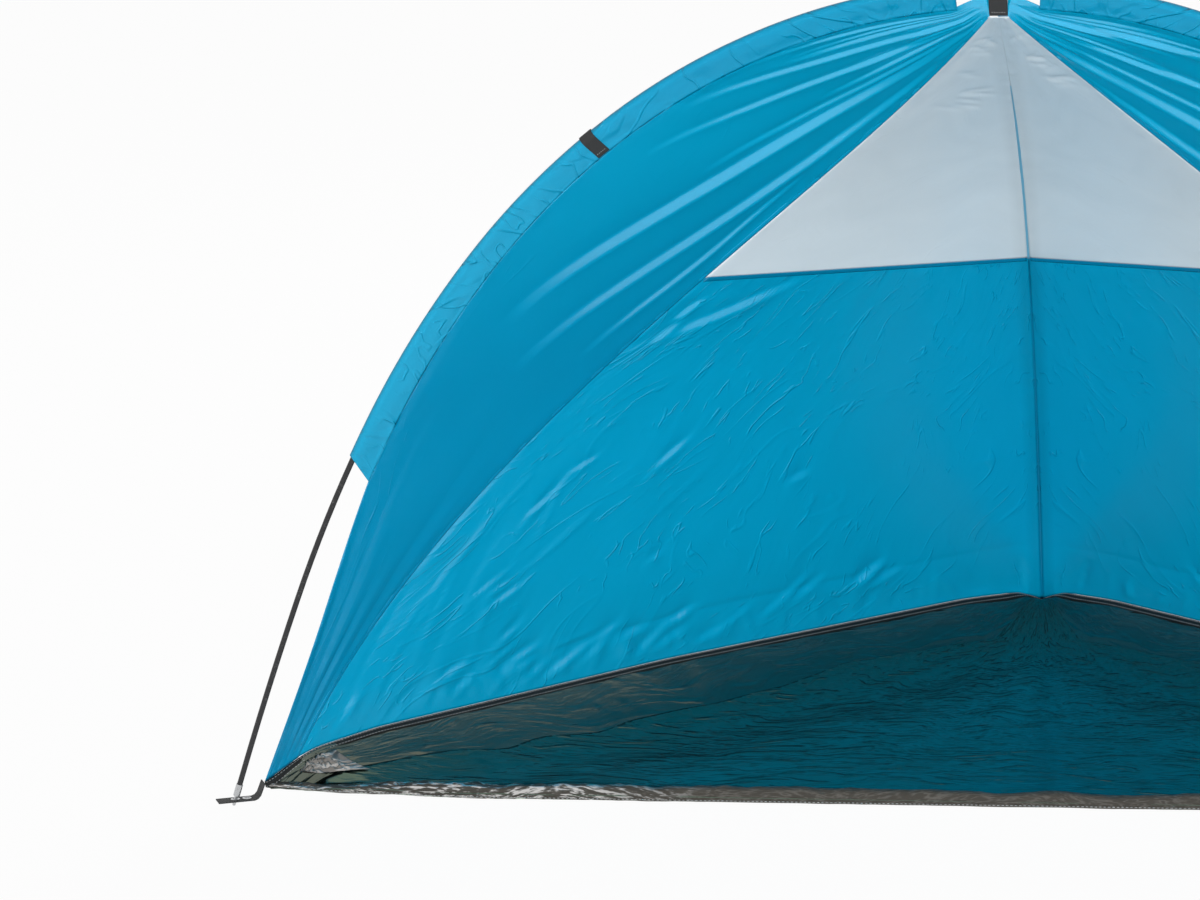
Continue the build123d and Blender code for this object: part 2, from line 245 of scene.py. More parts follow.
class BentPole:
    """A rod bent between two tips, whose heading falls as a cosine of its length."""

    ARCS = 12
    STEPS = 16
    HALVINGS = 60

    def __init__(
        self, middle: Vector, along: Vector, out: Vector, chord: float, bow: float, foot_run: float
    ) -> None:
        """Finds the bend for a chord and a bow.

        Args:
            middle: Middle of the line between the tips.
            along: Way from the first tip to the second.
            out: Way across the plane of the pole.
            chord: Distance between the tips.
            bow: Height of the bend over the chord.
            foot_run: Straight run at each tip.
        """
        self.middle, self.along, self.out = middle, along.normalized(), out
        self.up = out.cross(self.along)
        low, high = 0.0, math.pi / 2
        for _ in range(self.HALVINGS):
            angle = (low + high) / 2
            turns = [angle * math.cos(math.pi * i / self.ARCS) for i in range(self.ARCS + 1)]
            steps = [self.arc_step(1, *pair) for pair in zip(turns, turns[1:])]
            arc = (chord - foot_run * math.cos(angle) * 2) / sum(step[0] for step in steps)
            rise = sum(step[1] for step in steps[: self.ARCS // 2])
            if arc * rise + foot_run * math.sin(angle) < bow:
                low = angle
            else:
                high = angle
        rows = [(0.0, -chord / 2, 0.0, angle)]
        place = [foot_run, foot_run * math.cos(angle) - chord / 2, foot_run * math.sin(angle)]
        rows.append((*place, angle))
        for first, last in zip(turns, turns[1:]):
            for i in range(1, self.STEPS + 1):
                turn = first + (last - first) * i / self.STEPS
                step = self.arc_step(arc * i / self.STEPS, first, turn)
                rows.append(
                    (place[0] + arc * i / self.STEPS, place[1] + step[0], place[2] + step[1], turn)
                )
            place = list(rows[-1][:3])
        rows.append((place[0] + foot_run, chord / 2, 0.0, -angle))
        self.table = np.array(rows)
        self.length = rows[-1][0]
        self.foot_angle = angle

    @staticmethod
    def arc_step(length: float, start: float, end: float) -> tuple[float, float]:
        """Step along and up of an arc of this length between two headings."""
        half = (end - start) / 2
        chord = length * (math.sin(half) / half if half else 1)
        return chord * math.cos(start + half), chord * math.sin(start + half)

    def place(self, along: Array, up: Array, out: Array) -> Array:
        """Points of the pole's own frame in the shelter's frame."""
        ways = [np.asarray(way)[None, :] for way in (self.along, self.up, self.out)]
        parts = [np.atleast_1d(part)[:, None] for part in (along, up, out)]
        return np.asarray(self.middle)[None, :] + sum(p * w for p, w in zip(parts, ways))

    def beside(self, run: Array, inward: Array, back: Array) -> Array:
        """Points beside the pole.

        Args:
            run: Lengths from the first tip.
            inward: Distances towards the inside of the bend.
            back: Distances against the pole's out way.

        Returns:
            One point to a row.
        """
        along, up, turn = (np.interp(run, self.table[:, 0], self.table[:, i]) for i in (1, 2, 3))
        return self.place(along + inward * np.sin(turn), up - inward * np.cos(turn), -back)

    def leaning(self, run: Array, inward: Array, across: Array, lean: float) -> Array:
        """Points of a section round the pole that leans back by an angle."""
        sin, cos = math.sin(lean), math.cos(lean)
        return self.beside(run, inward * cos - across * sin, inward * sin + across * cos)


class ShelterLines:
    """Poles and seams of the left half, which the pieces of cloth share."""

    SAMPLES = 400
    CROWN_LIFT = 0.0155
    CROWN_LIFT_RUN = 0.075
    STRAP_RUN = 0.1
    WALL_FIT_FROM = 0.84
    WALL_ROUNDING = 0.02
    WALL_STEPS = 9
    INWARD = np.array([0.55, -0.62, -0.55])
    WALL_TOP = (
        (0.0, 0.031), (0.060, 0.057), (0.090, 0.066), (0.200, 0.076), (0.750, 0.085), (1.380, 0.078),
        (1.500, 0.070), (1.559, 0.046),
    )

    def __init__(self, sizes: Sizes) -> None:
        """Draws the poles and seams.

        Args:
            sizes: Driving sizes of the shelter.
        """
        crown_height = sizes.foot_height + sizes.rise
        self.front = BentPole(
            Vector((0, sizes.front_y, sizes.foot_height)), X_WAY, -Y_WAY, sizes.span, sizes.rise,
            sizes.front_foot_run,
        )
        rear_top = Vector((0, sizes.front_y + sizes.rear_top_back, crown_height - sizes.rear_top_drop))
        rear_tip = Vector((0, sizes.depth / 2, sizes.foot_height))
        chord = rear_tip - rear_top
        self.rear = BentPole(
            (rear_tip + rear_top) / 2, chord, X_WAY, chord.length, sizes.rear_bow, sizes.rear_foot_run
        )
        self.crown = Vector((0, sizes.front_y, crown_height))
        self.arch = Seam(self.arch_points(sizes))
        run = np.linspace(0, self.rear.length - sizes.rear_foot_run, self.SAMPLES)
        wide = np.full_like(run, sizes.sleeve_width)
        self.rear_seam = Seam(self.rear.beside(run, wide, np.zeros_like(run)))
        self.apex = self.rear_seam.points[0]
        self.corner = self.arch.points[-1]
        self.half_width = -self.corner[0]
        self.rear_corner = self.rear_seam.points[-1]
        wall = self.rear_corner - self.corner
        wall[2] = 0
        self.wall_length = float(np.linalg.norm(wall))
        self.wall_way = wall / self.wall_length
        marks = [self.ridge_mark(sizes, shares) for shares in (sizes.ridge_high, sizes.ridge_low)]
        self.ridge = Seam(self.ridge_points(sizes, marks))
        off = np.linalg.norm(self.ridge.points - marks[0], axis=1)
        self.colour_share = float(self.ridge.shares[np.argmin(off)])
        self.rear_colour = sizes.rear_colour

    def arch_points(self, sizes: Sizes) -> Array:
        """Edge of the cloth along the front pole, from the crown to the corner."""
        half = self.front.length / 2
        run = np.linspace(half, sizes.front_foot_run, self.SAMPLES)
        free = sizes.sleeve_from_foot - sizes.front_foot_run - sizes.sleeve_slant
        place = np.minimum(run - sizes.front_foot_run, free)
        inward = sizes.sleeve_width * math.cos(sizes.sleeve_lean)
        inward = inward + sizes.free_edge_hollow * np.sin(math.pi * place / free)
        inward -= self.CROWN_LIFT * smooth_step(half - self.CROWN_LIFT_RUN, half, run)
        back = np.full_like(run, sizes.sleeve_width * math.sin(sizes.sleeve_lean))
        points = self.front.beside(run, inward, back)
        aside = smooth_step(half - self.STRAP_RUN, half, run)
        points[:, 0] -= sizes.apex_strap_width / 2 * aside
        return points

    @staticmethod
    def ridge_mark(sizes: Sizes, shares: Triple) -> Array:
        """Point of the ridge at shares of half the span, the depth and the height."""
        x, y = -shares[0] * sizes.span / 2, sizes.front_y + shares[1] * sizes.depth
        return np.array([x, y, shares[2] * (sizes.foot_height + sizes.rise)])

    def ridge_points(self, sizes: Sizes, marks: Sequence[Array]) -> Array:
        """Seam between the front gore and the back, a smooth curve through its marks.

        Args:
            sizes: Driving sizes of the shelter.
            marks: Points that the seam goes through.

        Returns:
            Points from the apex to the wall, one to a row.
        """
        foot = self.corner + self.wall_way * sizes.ridge_foot
        foot[2] = self.wall_top(np.array([sizes.ridge_foot]))[0]
        top = self.apex - np.array([sizes.apex_strap_width / 2, 0, 0])
        points = np.array([top, *marks, foot])
        steps = np.linalg.norm(np.diff(points, axis=0), axis=1)
        knots = np.concatenate([[0.0], np.cumsum(steps)])
        run = np.linspace(0, knots[-1], self.SAMPLES)
        total = np.zeros((self.SAMPLES, 3))
        for i, point in enumerate(points):
            weight = np.ones_like(run)
            for j, knot in enumerate(knots):
                if j != i:
                    weight *= (run - knot) / (knots[i] - knot)
            total += weight[:, None] * point[None, :]
        return total

    def wall_top(self, run: Array) -> Array:
        """Height of the seam between the wall and the cloth, at lengths from the corner."""
        steps = np.linspace(-self.WALL_ROUNDING, self.WALL_ROUNDING, self.WALL_STEPS)
        table = np.array(self.WALL_TOP)
        return sum(np.interp(run + step, table[:, 0], table[:, 1]) for step in steps) / len(steps)

    def wall_inside(self, rise: float) -> Array:
        """Way in from the left wall, with a rise."""
        return np.array([self.wall_way[1], -self.wall_way[0], rise])

    def rear_share(self, share: Array) -> Array:
        """Place along the rear seam that faces a place along the ridge."""
        upper = self.rear_colour * share / self.colour_share
        lower = 1 - (1 - self.rear_colour) * (1 - share) / (1 - self.colour_share)
        return np.where(share <= self.colour_share, upper, lower)

    def gore(self, u: Array, v: Array) -> Array:
        """Cloth between the front pole and the ridge, u down from the apex and v across."""
        return self.arch.at(u) * (1 - v)[:, None] + self.ridge.at(u) * v[:, None]

    def back(self, u: Array, v: Array) -> Array:
        """Cloth between the ridge and the rear seam, u down from the apex and v across."""
        place = self.ridge.at(u) * (1 - v)[:, None]
        place = place + self.rear_seam.at(self.rear_share(u)) * v[:, None]
        foot = self.ridge.points[-1][2] * (1 - v) + self.rear_corner[2] * v
        run = SIZES.ridge_foot + v * (self.wall_length - SIZES.ridge_foot)
        place[:, 2] += (self.wall_top(run) - foot) * smooth_step(self.WALL_FIT_FROM, 1, u)
        return place


LINES = ShelterLines(SIZES)


@dataclass(frozen=True)
class Fold:
    """A crease or soft fold on a panel.

    The path is in shares along the seams and from seam to seam. The width and height are
    in metres, the fold starts at narrow times its width, and a lean makes one flank steep.
    """

    FACET_CREST = 2.5
    RIB_CREST = (1.3, 1.8)
    RIB_LEAN = (-0.5, 0.5)
    LINE_ROUNDING = 0.12
    LINE_STEPS = 5
    END_FADE = 0.7
    SHIFT = (0.03, 0.04)
    HEIGHT_CHANGE = (0.7, 1.2)

    run: Run
    path: Path
    width: float
    height: float
    narrow: float = 1.0
    crest: float = 1.5
    lean: float = 0.0
    shape: FoldShape = FoldShape.RIB

    def lift(self, u: Array, v: Array, u_scale: Array, v_scale: Array) -> Array:
        """Height of the fold over the panel.

        Args:
            u: Shares along the panel's seams.
            v: Shares from seam to seam.
            u_scale: Metres to one unit of u at each point.
            v_scale: Metres to one unit of v at each point.

        Returns:
            A height for each point.
        """
        along = self.run is Run.ALONG
        main, other = (u, v) if along else (v, u)
        main_scale, scale = (u_scale, v_scale) if along else (v_scale, u_scale)
        marks = np.array(sorted(mark if along else mark[::-1] for mark in self.path))
        start = self.path[0][0 if along else 1]
        length = marks[-1, 0] - marks[0, 0]
        share = np.clip((main - marks[0, 0]) / length, 0, 1)
        if start > marks[0, 0]:
            share = 1 - share
        steps = np.linspace(-self.LINE_ROUNDING, self.LINE_ROUNDING, self.LINE_STEPS) * length
        line = sum(np.interp(main + step, marks[:, 0], marks[:, 1]) for step in steps) / len(steps)
        slope = (marks[-1, 1] - marks[0, 1]) / length * scale / main_scale
        across = (other - line) * scale / np.sqrt(1 + slope * slope)
        width = self.width * (self.narrow + (1 - self.narrow) * share)
        width = width * (1 + self.lean * np.sign(across))
        envelope = np.sin(math.pi * share) ** self.END_FADE
        reach = np.abs(across / width)
        section = np.exp(-(reach**self.crest))
        if self.shape is FoldShape.FACET:
            outside = np.exp((1 - np.maximum(reach, 1)) / self.crest)
            section = np.sign(across) * np.where(reach < 1, reach, outside)
        return self.height * envelope * section

    def shifted(self, draw: random.Random) -> "Fold":
        """The same fold a little elsewhere, for the other half."""
        move = [draw.uniform(-far, far) for far in self.SHIFT]
        path = tuple((mark[0] + move[0], mark[1] + move[1]) for mark in self.path)
        return replace(self, path=path, height=self.height * draw.uniform(*self.HEIGHT_CHANGE))

    @classmethod
    def facet(cls, run: Run, path: Path, width: float, height: float, narrow: float = 1.0) -> "Fold":
        """A flat facet between two crease lines."""
        return cls(run, path, width, height, narrow, cls.FACET_CREST, shape=FoldShape.FACET)


def fan(
    seed: int, count: int, start: Span, end: Span, across: Span, width: Span, height: Span,
    drift: float = 0.0, narrow: float = 0.3, shape: FoldShape = FoldShape.RIB,
) -> list[Fold]:
    """Folds that fan out from a point where the cloth is pulled.

    Args:
        seed: Seed of the draws.
        count: Number of folds.
        start: Range of the shares where folds start.
        end: Range of the shares where they end.
        across: Range of their places from seam to seam.
        width: Range of the widths, in metres.
        height: Range of the heights, in metres; ribs go up or down.
        drift: Change of place from seam to seam along a fold.
        narrow: Share of the width at the start.
        shape: Section of the folds; facets all face the mouth.

    Returns:
        The folds.
    """
    room, aside = (0.1, 0.9), (-0.03, 0.03)
    draw = random.Random(seed)
    folds = []
    for i in range(count):
        place = across[0] + (across[1] - across[0]) * (i + draw.uniform(*room)) / count
        first, last = draw.uniform(*start), draw.uniform(*end)
        side = place + drift * (last - first) + draw.uniform(*aside)
        path = ((first, place), (last, side))
        wide = draw.uniform(*width)
        if shape is FoldShape.FACET:
            folds.append(Fold.facet(Run.ALONG, path, wide, -draw.uniform(*height), narrow))
            continue
        high = draw.choice((-1, 1)) * draw.uniform(*height)
        crest, lean = draw.uniform(*Fold.RIB_CREST), draw.uniform(*Fold.RIB_LEAN)
        folds.append(Fold(Run.ALONG, path, wide, high, narrow, crest, lean))
    return folds


def finish_piece(
    bm: Mesh, name: str, material: Material, slot: Slot, nodes: Sequence[str] = (),
    thickness: float = 0.0,
) -> bpy.types.Object:
    """Makes an object of a mesh and ties it to the part.

    Args:
        bm: The mesh, which is freed.
        name: Name of the piece.
        material: Its finish.
        slot: Slot of the record that the finish stands for; not used.
        nodes: CAD nodes that the piece replaces.
        thickness: Thickness for a sheet, or 0 for a closed shape.

    Returns:
        The piece.
    """
    mesh = bpy.data.meshes.new(name)
    for face in bm.faces:
        face.smooth = True
    bm.to_mesh(mesh)
    bm.free()
    mesh.materials.append(material)
    piece = bpy.data.objects.new(name, mesh)
    bpy.context.scene.collection.objects.link(piece)
    if thickness:
        solid = piece.modifiers.new("thickness", "SOLIDIFY")
        solid.thickness = thickness
        solid.offset = 0
    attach(piece, BODY)
    if nodes:
        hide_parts(*nodes)
    log.info("%s: %d faces", name, len(mesh.polygons))
    return piece


def grid_sheet(cells: Cells, surface: Surface, flip: bool, mirrored: bool, size: Span) -> Mesh:
    """Grid moved onto a surface, with its own lengths as UV.

    Args:
        cells: Cells along u and v.
        surface: Gives a point for each pair of shares.
        flip: Whether the faces are turned over.
        mirrored: Whether the points are mirrored to the right.
        size: Length along u and v, in metres, for the UV map.

    Returns:
        The mesh.
    """
    bm = bmesh.new()
    half = 0.5
    bmesh.ops.create_grid(bm, x_segments=cells[0], y_segments=cells[1], size=half)
    shares = np.array([(vert.co.x + half, vert.co.y + half) for vert in bm.verts])
    uv = bm.loops.layers.uv.new("UVMap")
    for face in bm.faces:
        for loop in face.loops:
            place = loop.vert.co
            loop[uv].uv = ((place.x + half) * size[0], (place.y + half) * size[1])
    places = surface(shares[:, 0], shares[:, 1])
    if mirrored:
        places[:, 0] *= -1
    for vert, place in zip(bm.verts, places):
        vert.co = place
    if flip != mirrored:
        bmesh.ops.reverse_faces(bm, faces=bm.faces)
    return bm


def area_of(bm: Mesh) -> float:
    """Area of a mesh, in square metres."""
    return sum(face.calc_area() for face in bm.faces)


class CreasedSurface:
    """A panel with its folds, seam puckers and slack."""

    STEP = 0.002
    SLACK_SCALE = (5, 7)
    EDGE_FADE = 0.02
    PUCKER_SCALE = (60, 3)
    PUCKER_SHIFT = 31
    PUCKER_REACH = 0.016
    PUCKER_FADE = 0.004

    def __init__(
        self, base: Surface, folds: Sequence[Fold], seed: int, slack: float, pucker: float,
        outward: Triple = (-1.0, 1.0, 1.0),
    ) -> None:
        """Keeps what shapes the panel.

        Args:
            base: The stretched cloth.
            folds: Folds that stand on it.
            seed: Seed of the slack and puckers.
            slack: Height of the soft unevenness, in metres.
            pucker: Height of the puckers along the seams, in metres.
            outward: Rough way out of the shelter.
        """
        self.base, self.folds, self.slack, self.pucker = base, folds, slack, pucker
        self.outward = np.array(outward)
        self.noise = SmoothNoise(seed)

    def __call__(self, u: Array, v: Array) -> Array:
        """Points of the creased panel, u along the seams and v from seam to seam."""
        low_u, high_u = (np.clip(u + step, 0, 1) for step in (-self.STEP, self.STEP))
        low_v, high_v = (np.clip(v + step, 0, 1) for step in (-self.STEP, self.STEP))
        along = self.base(high_u, v) - self.base(low_u, v)
        across = self.base(u, high_v) - self.base(u, low_v)
        u_scale = np.linalg.norm(along, axis=1) / (high_u - low_u)
        v_scale = np.linalg.norm(across, axis=1) / (high_v - low_v)
        normal = np.cross(along, across)
        normal /= np.maximum(np.linalg.norm(normal, axis=1, keepdims=True), 1e-12)
        if np.mean(normal @ self.outward) < 0:
            normal = -normal
        edge_v = np.minimum(v, 1 - v) * v_scale
        edge_u = np.minimum(u, 1 - u) * u_scale
        edge = np.minimum(edge_u, edge_v)
        lift = sum(fold.lift(u, v, u_scale, v_scale) for fold in self.folds)
        run_u, run_v = u * np.mean(u_scale), v * np.mean(v_scale)
        slack = self.noise.layered(run_u * self.SLACK_SCALE[0], run_v * self.SLACK_SCALE[1])
        lift = lift + self.slack * slack
        lift = lift * smooth_step(0, self.EDGE_FADE, edge)
        fine, long = self.PUCKER_SCALE
        wave = self.noise.at(run_u * fine, v * long) * np.exp(-edge_v / self.PUCKER_REACH)
        ends = self.noise.at(run_v * fine + self.PUCKER_SHIFT, u * long)
        wave = wave + ends * np.exp(-edge_u / self.PUCKER_REACH)
        lift = lift + self.pucker * wave * smooth_step(0, self.PUCKER_FADE, edge)
        return self.base(u, v) + normal * lift[:, None]


class NodeBook:
    """Adds nodes to one tree and links them."""

    def __init__(self, tree: Tree) -> None:
        """Keeps the tree."""
        self.tree = tree

    def add(self, kind: str, inputs: dict | None = None, **settings: object) -> Node:
        """Adds a node.

        Args:
            kind: Type name of the node.
            inputs: Values or sockets for its inputs, by name or index.
            settings: Properties of the node.

        Returns:
            The node.
        """
        node = self.tree.nodes.new(kind)
        for name, value in settings.items():
            setattr(node, name, value)
        self.feed(node, inputs or {})
        return node

    def feed(self, node: Node, inputs: dict) -> None:
        """Sets or links inputs of a node.

        Args:
            node: The node.
            inputs: Values or sockets for its inputs, by name or index.
        """
        for name, value in inputs.items():
            if isinstance(value, Socket):
                self.tree.links.new(value, node.inputs[name])
            else:
                node.inputs[name].default_value = value

    def math(self, operation: str, first: object, second: object = 0.0) -> Socket:
        """Adds a Math node and returns its value."""
        inputs = {0: first, 1: second}
        return self.add("ShaderNodeMath", inputs, operation=operation).outputs[0]

    def blend(self, factor: object, first: object, second: object) -> Socket:
        """Adds a Mix node for colours and returns its colour."""
        inputs = {0: factor, 6: first, 7: second}
        return self.add("ShaderNodeMix", inputs, data_type="RGBA").outputs[2]

    def spread(self, value: object, low: float, high: float, new_low: float, new_high: float) -> Socket:
        """Adds a Map Range node and returns its value."""
        inputs = {0: value, 1: low, 2: high, 3: new_low, 4: new_high}
        return self.add("ShaderNodeMapRange", inputs).outputs[0]

    def pulled(self, vector: object, turn: float, narrow: float) -> Socket:
        """Coordinates that pull a pattern out along a way.

        Args:
            vector: Coordinates to start from.
            turn: Angle of that way, in radians.
            narrow: Width of the pattern for a length of 1.

        Returns:
            The new coordinates.
        """
        return self.add(
            "ShaderNodeMapping",
            {"Vector": vector, "Rotation": (0.0, 0.0, turn), "Scale": (1.0, narrow, 1.0)},
            vector_type="TEXTURE",
        ).outputs[0]

    def bent(self, vector: object, scale: float, amount: float) -> Socket:
        """Coordinates that wander, so that a pattern loses its even lines.

        Args:
            vector: Coordinates to start from.
            scale: Scale of the wandering.
            amount: How far it goes.

        Returns:
            The new coordinates.
        """
        noise = self.add("ShaderNodeTexNoise", {"Vector": vector, "Scale": scale, "Detail": 1.0})
        return self.add(
            "ShaderNodeVectorMath", {0: noise.outputs["Color"], 1: (amount, amount, 0.0), 2: vector},
            operation="MULTIPLY_ADD",
        ).outputs[0]

    def place(self) -> Socket:
        """Adds a Texture Coordinate node and returns the place on the object."""
        return self.add("ShaderNodeTexCoord").outputs["Object"]

    def cut(self) -> Socket:
        """Adds a UV Map node and returns the place on the cut cloth, in metres."""
        return self.add("ShaderNodeUVMap", uv_map="UVMap").outputs[0]

    def bumps(self, shader: Node, layers: Sequence[tuple]) -> None:
        """Stacks bumps on a shader's normal.

        Args:
            shader: Node with a Normal input.
            layers: Strength, depth in metres and height of each bump, the finest first.
        """
        below = {}
        for strength, depth, height in layers:
            inputs = {"Strength": strength, "Distance": depth, "Height": height, **below}
            below = {"Normal": self.add("ShaderNodeBump", inputs).outputs[0]}
        self.feed(shader, below)


def effect_group(
    name: str, inputs: Sequence[tuple[str, str, object]], outputs: Sequence[str]
) -> tuple[NodeBook, Node, Node]:
    """Starts a shader node group.

    Args:
        name: Name of the group.
        inputs: Name, socket type and default of each input.
        outputs: Names of the float outputs.

    Returns:
        A book on the group's tree, its input node and its output node.
    """
    tree = bpy.data.node_groups.new(name, "ShaderNodeTree")
    for label, kind, default in inputs:
        socket = tree.interface.new_socket(label, in_out="INPUT", socket_type=kind)
        if default is not None:
            socket.default_value = default
    for label in outputs:
        tree.interface.new_socket(label, in_out="OUTPUT", socket_type="NodeSocketFloat")
    book = NodeBook(tree)
    return book, book.add("NodeGroupInput"), book.add("NodeGroupOutput")


def weave_group() -> Tree:
    """Group for threads that cross over and under each other on a UV map in metres."""
    book, given, out = effect_group(
        "Weave", [("Vector", "NodeSocketVector", None), ("Thread", "NodeSocketFloat", 0.001)],
        ["Height", "Gap"],
    )
    parts = book.add("ShaderNodeSeparateXYZ", {0: given.outputs["Vector"]})
    waves = []
    for axis in (0, 1):
        turn = book.math("DIVIDE", parts.outputs[axis], given.outputs["Thread"])
        waves.append(book.math("MULTIPLY", turn, math.pi))
    over = book.math("MULTIPLY", book.math("SINE", waves[0]), book.math("SINE", waves[1]))
    ribs = [book.math("ABSOLUTE", book.math("COSINE", wave)) for wave in waves]
    gap = book.spread(book.math("ADD", *ribs), 1.2, 2.0, 0.0, 1.0)
    book.feed(out, {"Height": book.spread(over, -1.0, 1.0, 0.0, 1.0), "Gap": gap})
    return book.tree


def crease_group() -> Tree:
    """Group for thin packing creases with soft unevenness between them."""
    book, given, out = effect_group(
        "Creases",
        [
            ("Vector", "NodeSocketVector", None),
            ("Scale", "NodeSocketFloat", 6.0),
            ("Width", "NodeSocketFloat", 0.02),
            ("Share", "NodeSocketFloat", 0.5),
        ],
        ["Height", "Lines", "Patches"],
    )
    vector, scale, width, share = given.outputs[:4]
    line = book.add("ShaderNodeTexNoise", {"Vector": vector, "Scale": scale, "Detail": 1.0})
    off = book.math("ABSOLUTE", book.math("SUBTRACT", line.outputs[0], 0.5))
    lines = book.add(
        "ShaderNodeMapRange", {0: off, 1: 0.0, 2: width, 3: 1.0, 4: 0.0},
        interpolation_type="SMOOTHSTEP",
    ).outputs[0]
    elsewhere = (3.7, 1.9, 5.3)
    moved = book.add("ShaderNodeVectorMath", {0: vector, 1: elsewhere}, operation="ADD").outputs[0]
    patch = book.add("ShaderNodeTexNoise", {"Vector": moved, "Scale": scale, "Detail": 3.0}).outputs[0]
    sharpness, patch_height = 8.0, 0.7
    held = book.math("SUBTRACT", patch, book.math("SUBTRACT", 1.0, share))
    held = book.add("ShaderNodeClamp", {0: book.math("MULTIPLY", held, sharpness)}).outputs[0]
    held = book.math("MULTIPLY", lines, held)
    height = book.math("ADD", held, book.math("MULTIPLY", patch, patch_height))
    book.feed(out, {"Height": height, "Lines": held, "Patches": patch})
    return book.tree


class Effects:
    """Shader node groups that the finishes share."""

    def __init__(self) -> None:
        """Builds each group once."""
        self.weave_tree, self.crease_tree = weave_group(), crease_group()

    def weave(self, book: NodeBook, cut: Socket, thread: float) -> Node:
        """Places the weave in a material, with its own thread."""
        inputs = {"Vector": cut, "Thread": thread}
        return book.add("ShaderNodeGroup", inputs, node_tree=self.weave_tree)

    def creases(self, book: NodeBook, vector: Socket, scale: float, width: float, share: float) -> Node:
        """Places the creases in a material, with their own values."""
        inputs = {"Vector": vector, "Scale": scale, "Width": width, "Share": share}
        return book.add("ShaderNodeGroup", inputs, node_tree=self.crease_tree)


def new_material(name: str) -> tuple[Material, NodeBook, Node]:
    """A material with a book on its nodes and its Principled shader."""
    material = bpy.data.materials.new(name)
    material.use_nodes = True
    book = NodeBook(material.node_tree)
    return material, book, material.node_tree.nodes["Principled BSDF"]


def rgba(colour: Colour, shade: float = 1.0) -> tuple[float, float, float, float]:
    """A colour, darkened by a shade, with full alpha."""
    return (*(shade * part for part in colour), 1.0)


PATCH_RANGE = (0.3, 0.7)


@dataclass(frozen=True)
class Finish(ABC):
    """A material with its main colour."""

    name: str
    colour: Colour

    @abstractmethod
    def dress(self, book: NodeBook, shader: Node, effects: Effects) -> None:
        """Gives the shader its looks.

        Args:
            book: Book on the material's nodes.
            shader: Principled shader of the material.
            effects: Shared node groups.
        """

    def build(self, effects: Effects) -> Material:
        """Makes the material.

        Args:
            effects: Shared node groups.

        Returns:
            The material.
        """
        material, book, shader = new_material(self.name)
        self.dress(book, shader, effects)
        return material


@dataclass(frozen=True)
class ClothFinish(Finish):
    """Thin coated cloth with a fine weave, packing creases and a satin face.

    Turn is the way in which the creases run, against the first axis of the UV map. Foot is
    the colour at the lower end of its range of heights, for painted light and shade that change
    with height. Band is the share of the rear pole's shadow that comes through, a painted
    shadow darker near the middle of the back.
    """

    WANDER = (3.0, 0.35)
    LONG_PULL = 0.3
    LONG_SCALE = 3.6
    SMALL_PULL = 0.45
    SMALL_SCALE = 12.0
    SMALL_TURN = 0.5
    CREASE_WIDTH = 0.035
    POLE_SHADOW_RANGE = (0.010, 0.024)
    POLE_SHADOW_SHADE = 0.55
    ROUGH_CHANGE = 0.04
    COAT_ROUGHNESS = 0.2
    WEAVE_BUMP = (0.2, 0.0001)
    CREASE_STRENGTH = 0.9

    shade: Colour
    turn: float
    roughness: float = 0.22
    thread: float = 0.0009
    crease_depth: float = 0.0008
    coat: float = 0.6
    band: float = 0.0
    creased: float = 0.42
    fine_depth: float = 0.0002
    foot: Colour | None = None
    foot_range: Span = (0.62, 0.12)
    specular: float = 0.5

    def dress(self, book: NodeBook, shader: Node, effects: Effects) -> None:
        """Gives the shader its looks."""
        cut = book.cut()
        weave = effects.weave(book, cut, self.thread)
        bent = book.bent(cut, *self.WANDER)
        pulled = book.pulled(bent, self.turn, self.LONG_PULL)
        creases = effects.creases(book, pulled, self.LONG_SCALE, self.CREASE_WIDTH, self.creased)
        pulled = book.pulled(bent, self.turn + self.SMALL_TURN, self.SMALL_PULL)
        small = effects.creases(book, pulled, self.SMALL_SCALE, self.CREASE_WIDTH, self.creased)
        tone = book.spread(creases.outputs["Patches"], *PATCH_RANGE, 0.0, 1.0)
        colour = book.blend(tone, rgba(self.shade), rgba(self.colour))
        parts = book.add("ShaderNodeSeparateXYZ", {0: book.place()})
        # Colour that changes with height; the finishes use it for painted light and painted shade.
        if self.foot:
            low = book.spread(parts.outputs[2], *self.foot_range, 0.0, 1.0)
            colour = book.blend(low, colour, rgba(self.foot))
        # Painted shadow: a darker stripe near x = 0 for the shadow of the rear pole and its sleeve seen
        # through the cloth.
        if self.band:
            off = book.math("ABSOLUTE", parts.outputs[0])
            through = book.spread(off, *self.POLE_SHADOW_RANGE, self.band, 0.0)
            colour = book.blend(through, colour, rgba(self.shade, self.POLE_SHADOW_SHADE))
        dull, bright = self.roughness + self.ROUGH_CHANGE, self.roughness - self.ROUGH_CHANGE
        rough = book.spread(small.outputs["Patches"], *PATCH_RANGE, dull, bright)
        book.feed(
            shader,
            {
                "Base Color": colour,
                "Roughness": rough,
                "Specular IOR Level": self.specular,
                "Coat Weight": self.coat,
                "Coat Roughness": self.COAT_ROUGHNESS,
            },
        )
        book.bumps(
            shader,
            (
                (*self.WEAVE_BUMP, weave.outputs["Height"]),
                (self.CREASE_STRENGTH, self.fine_depth, small.outputs["Height"]),
                (self.CREASE_STRENGTH, self.crease_depth, creases.outputs["Height"]),
            ),
        )


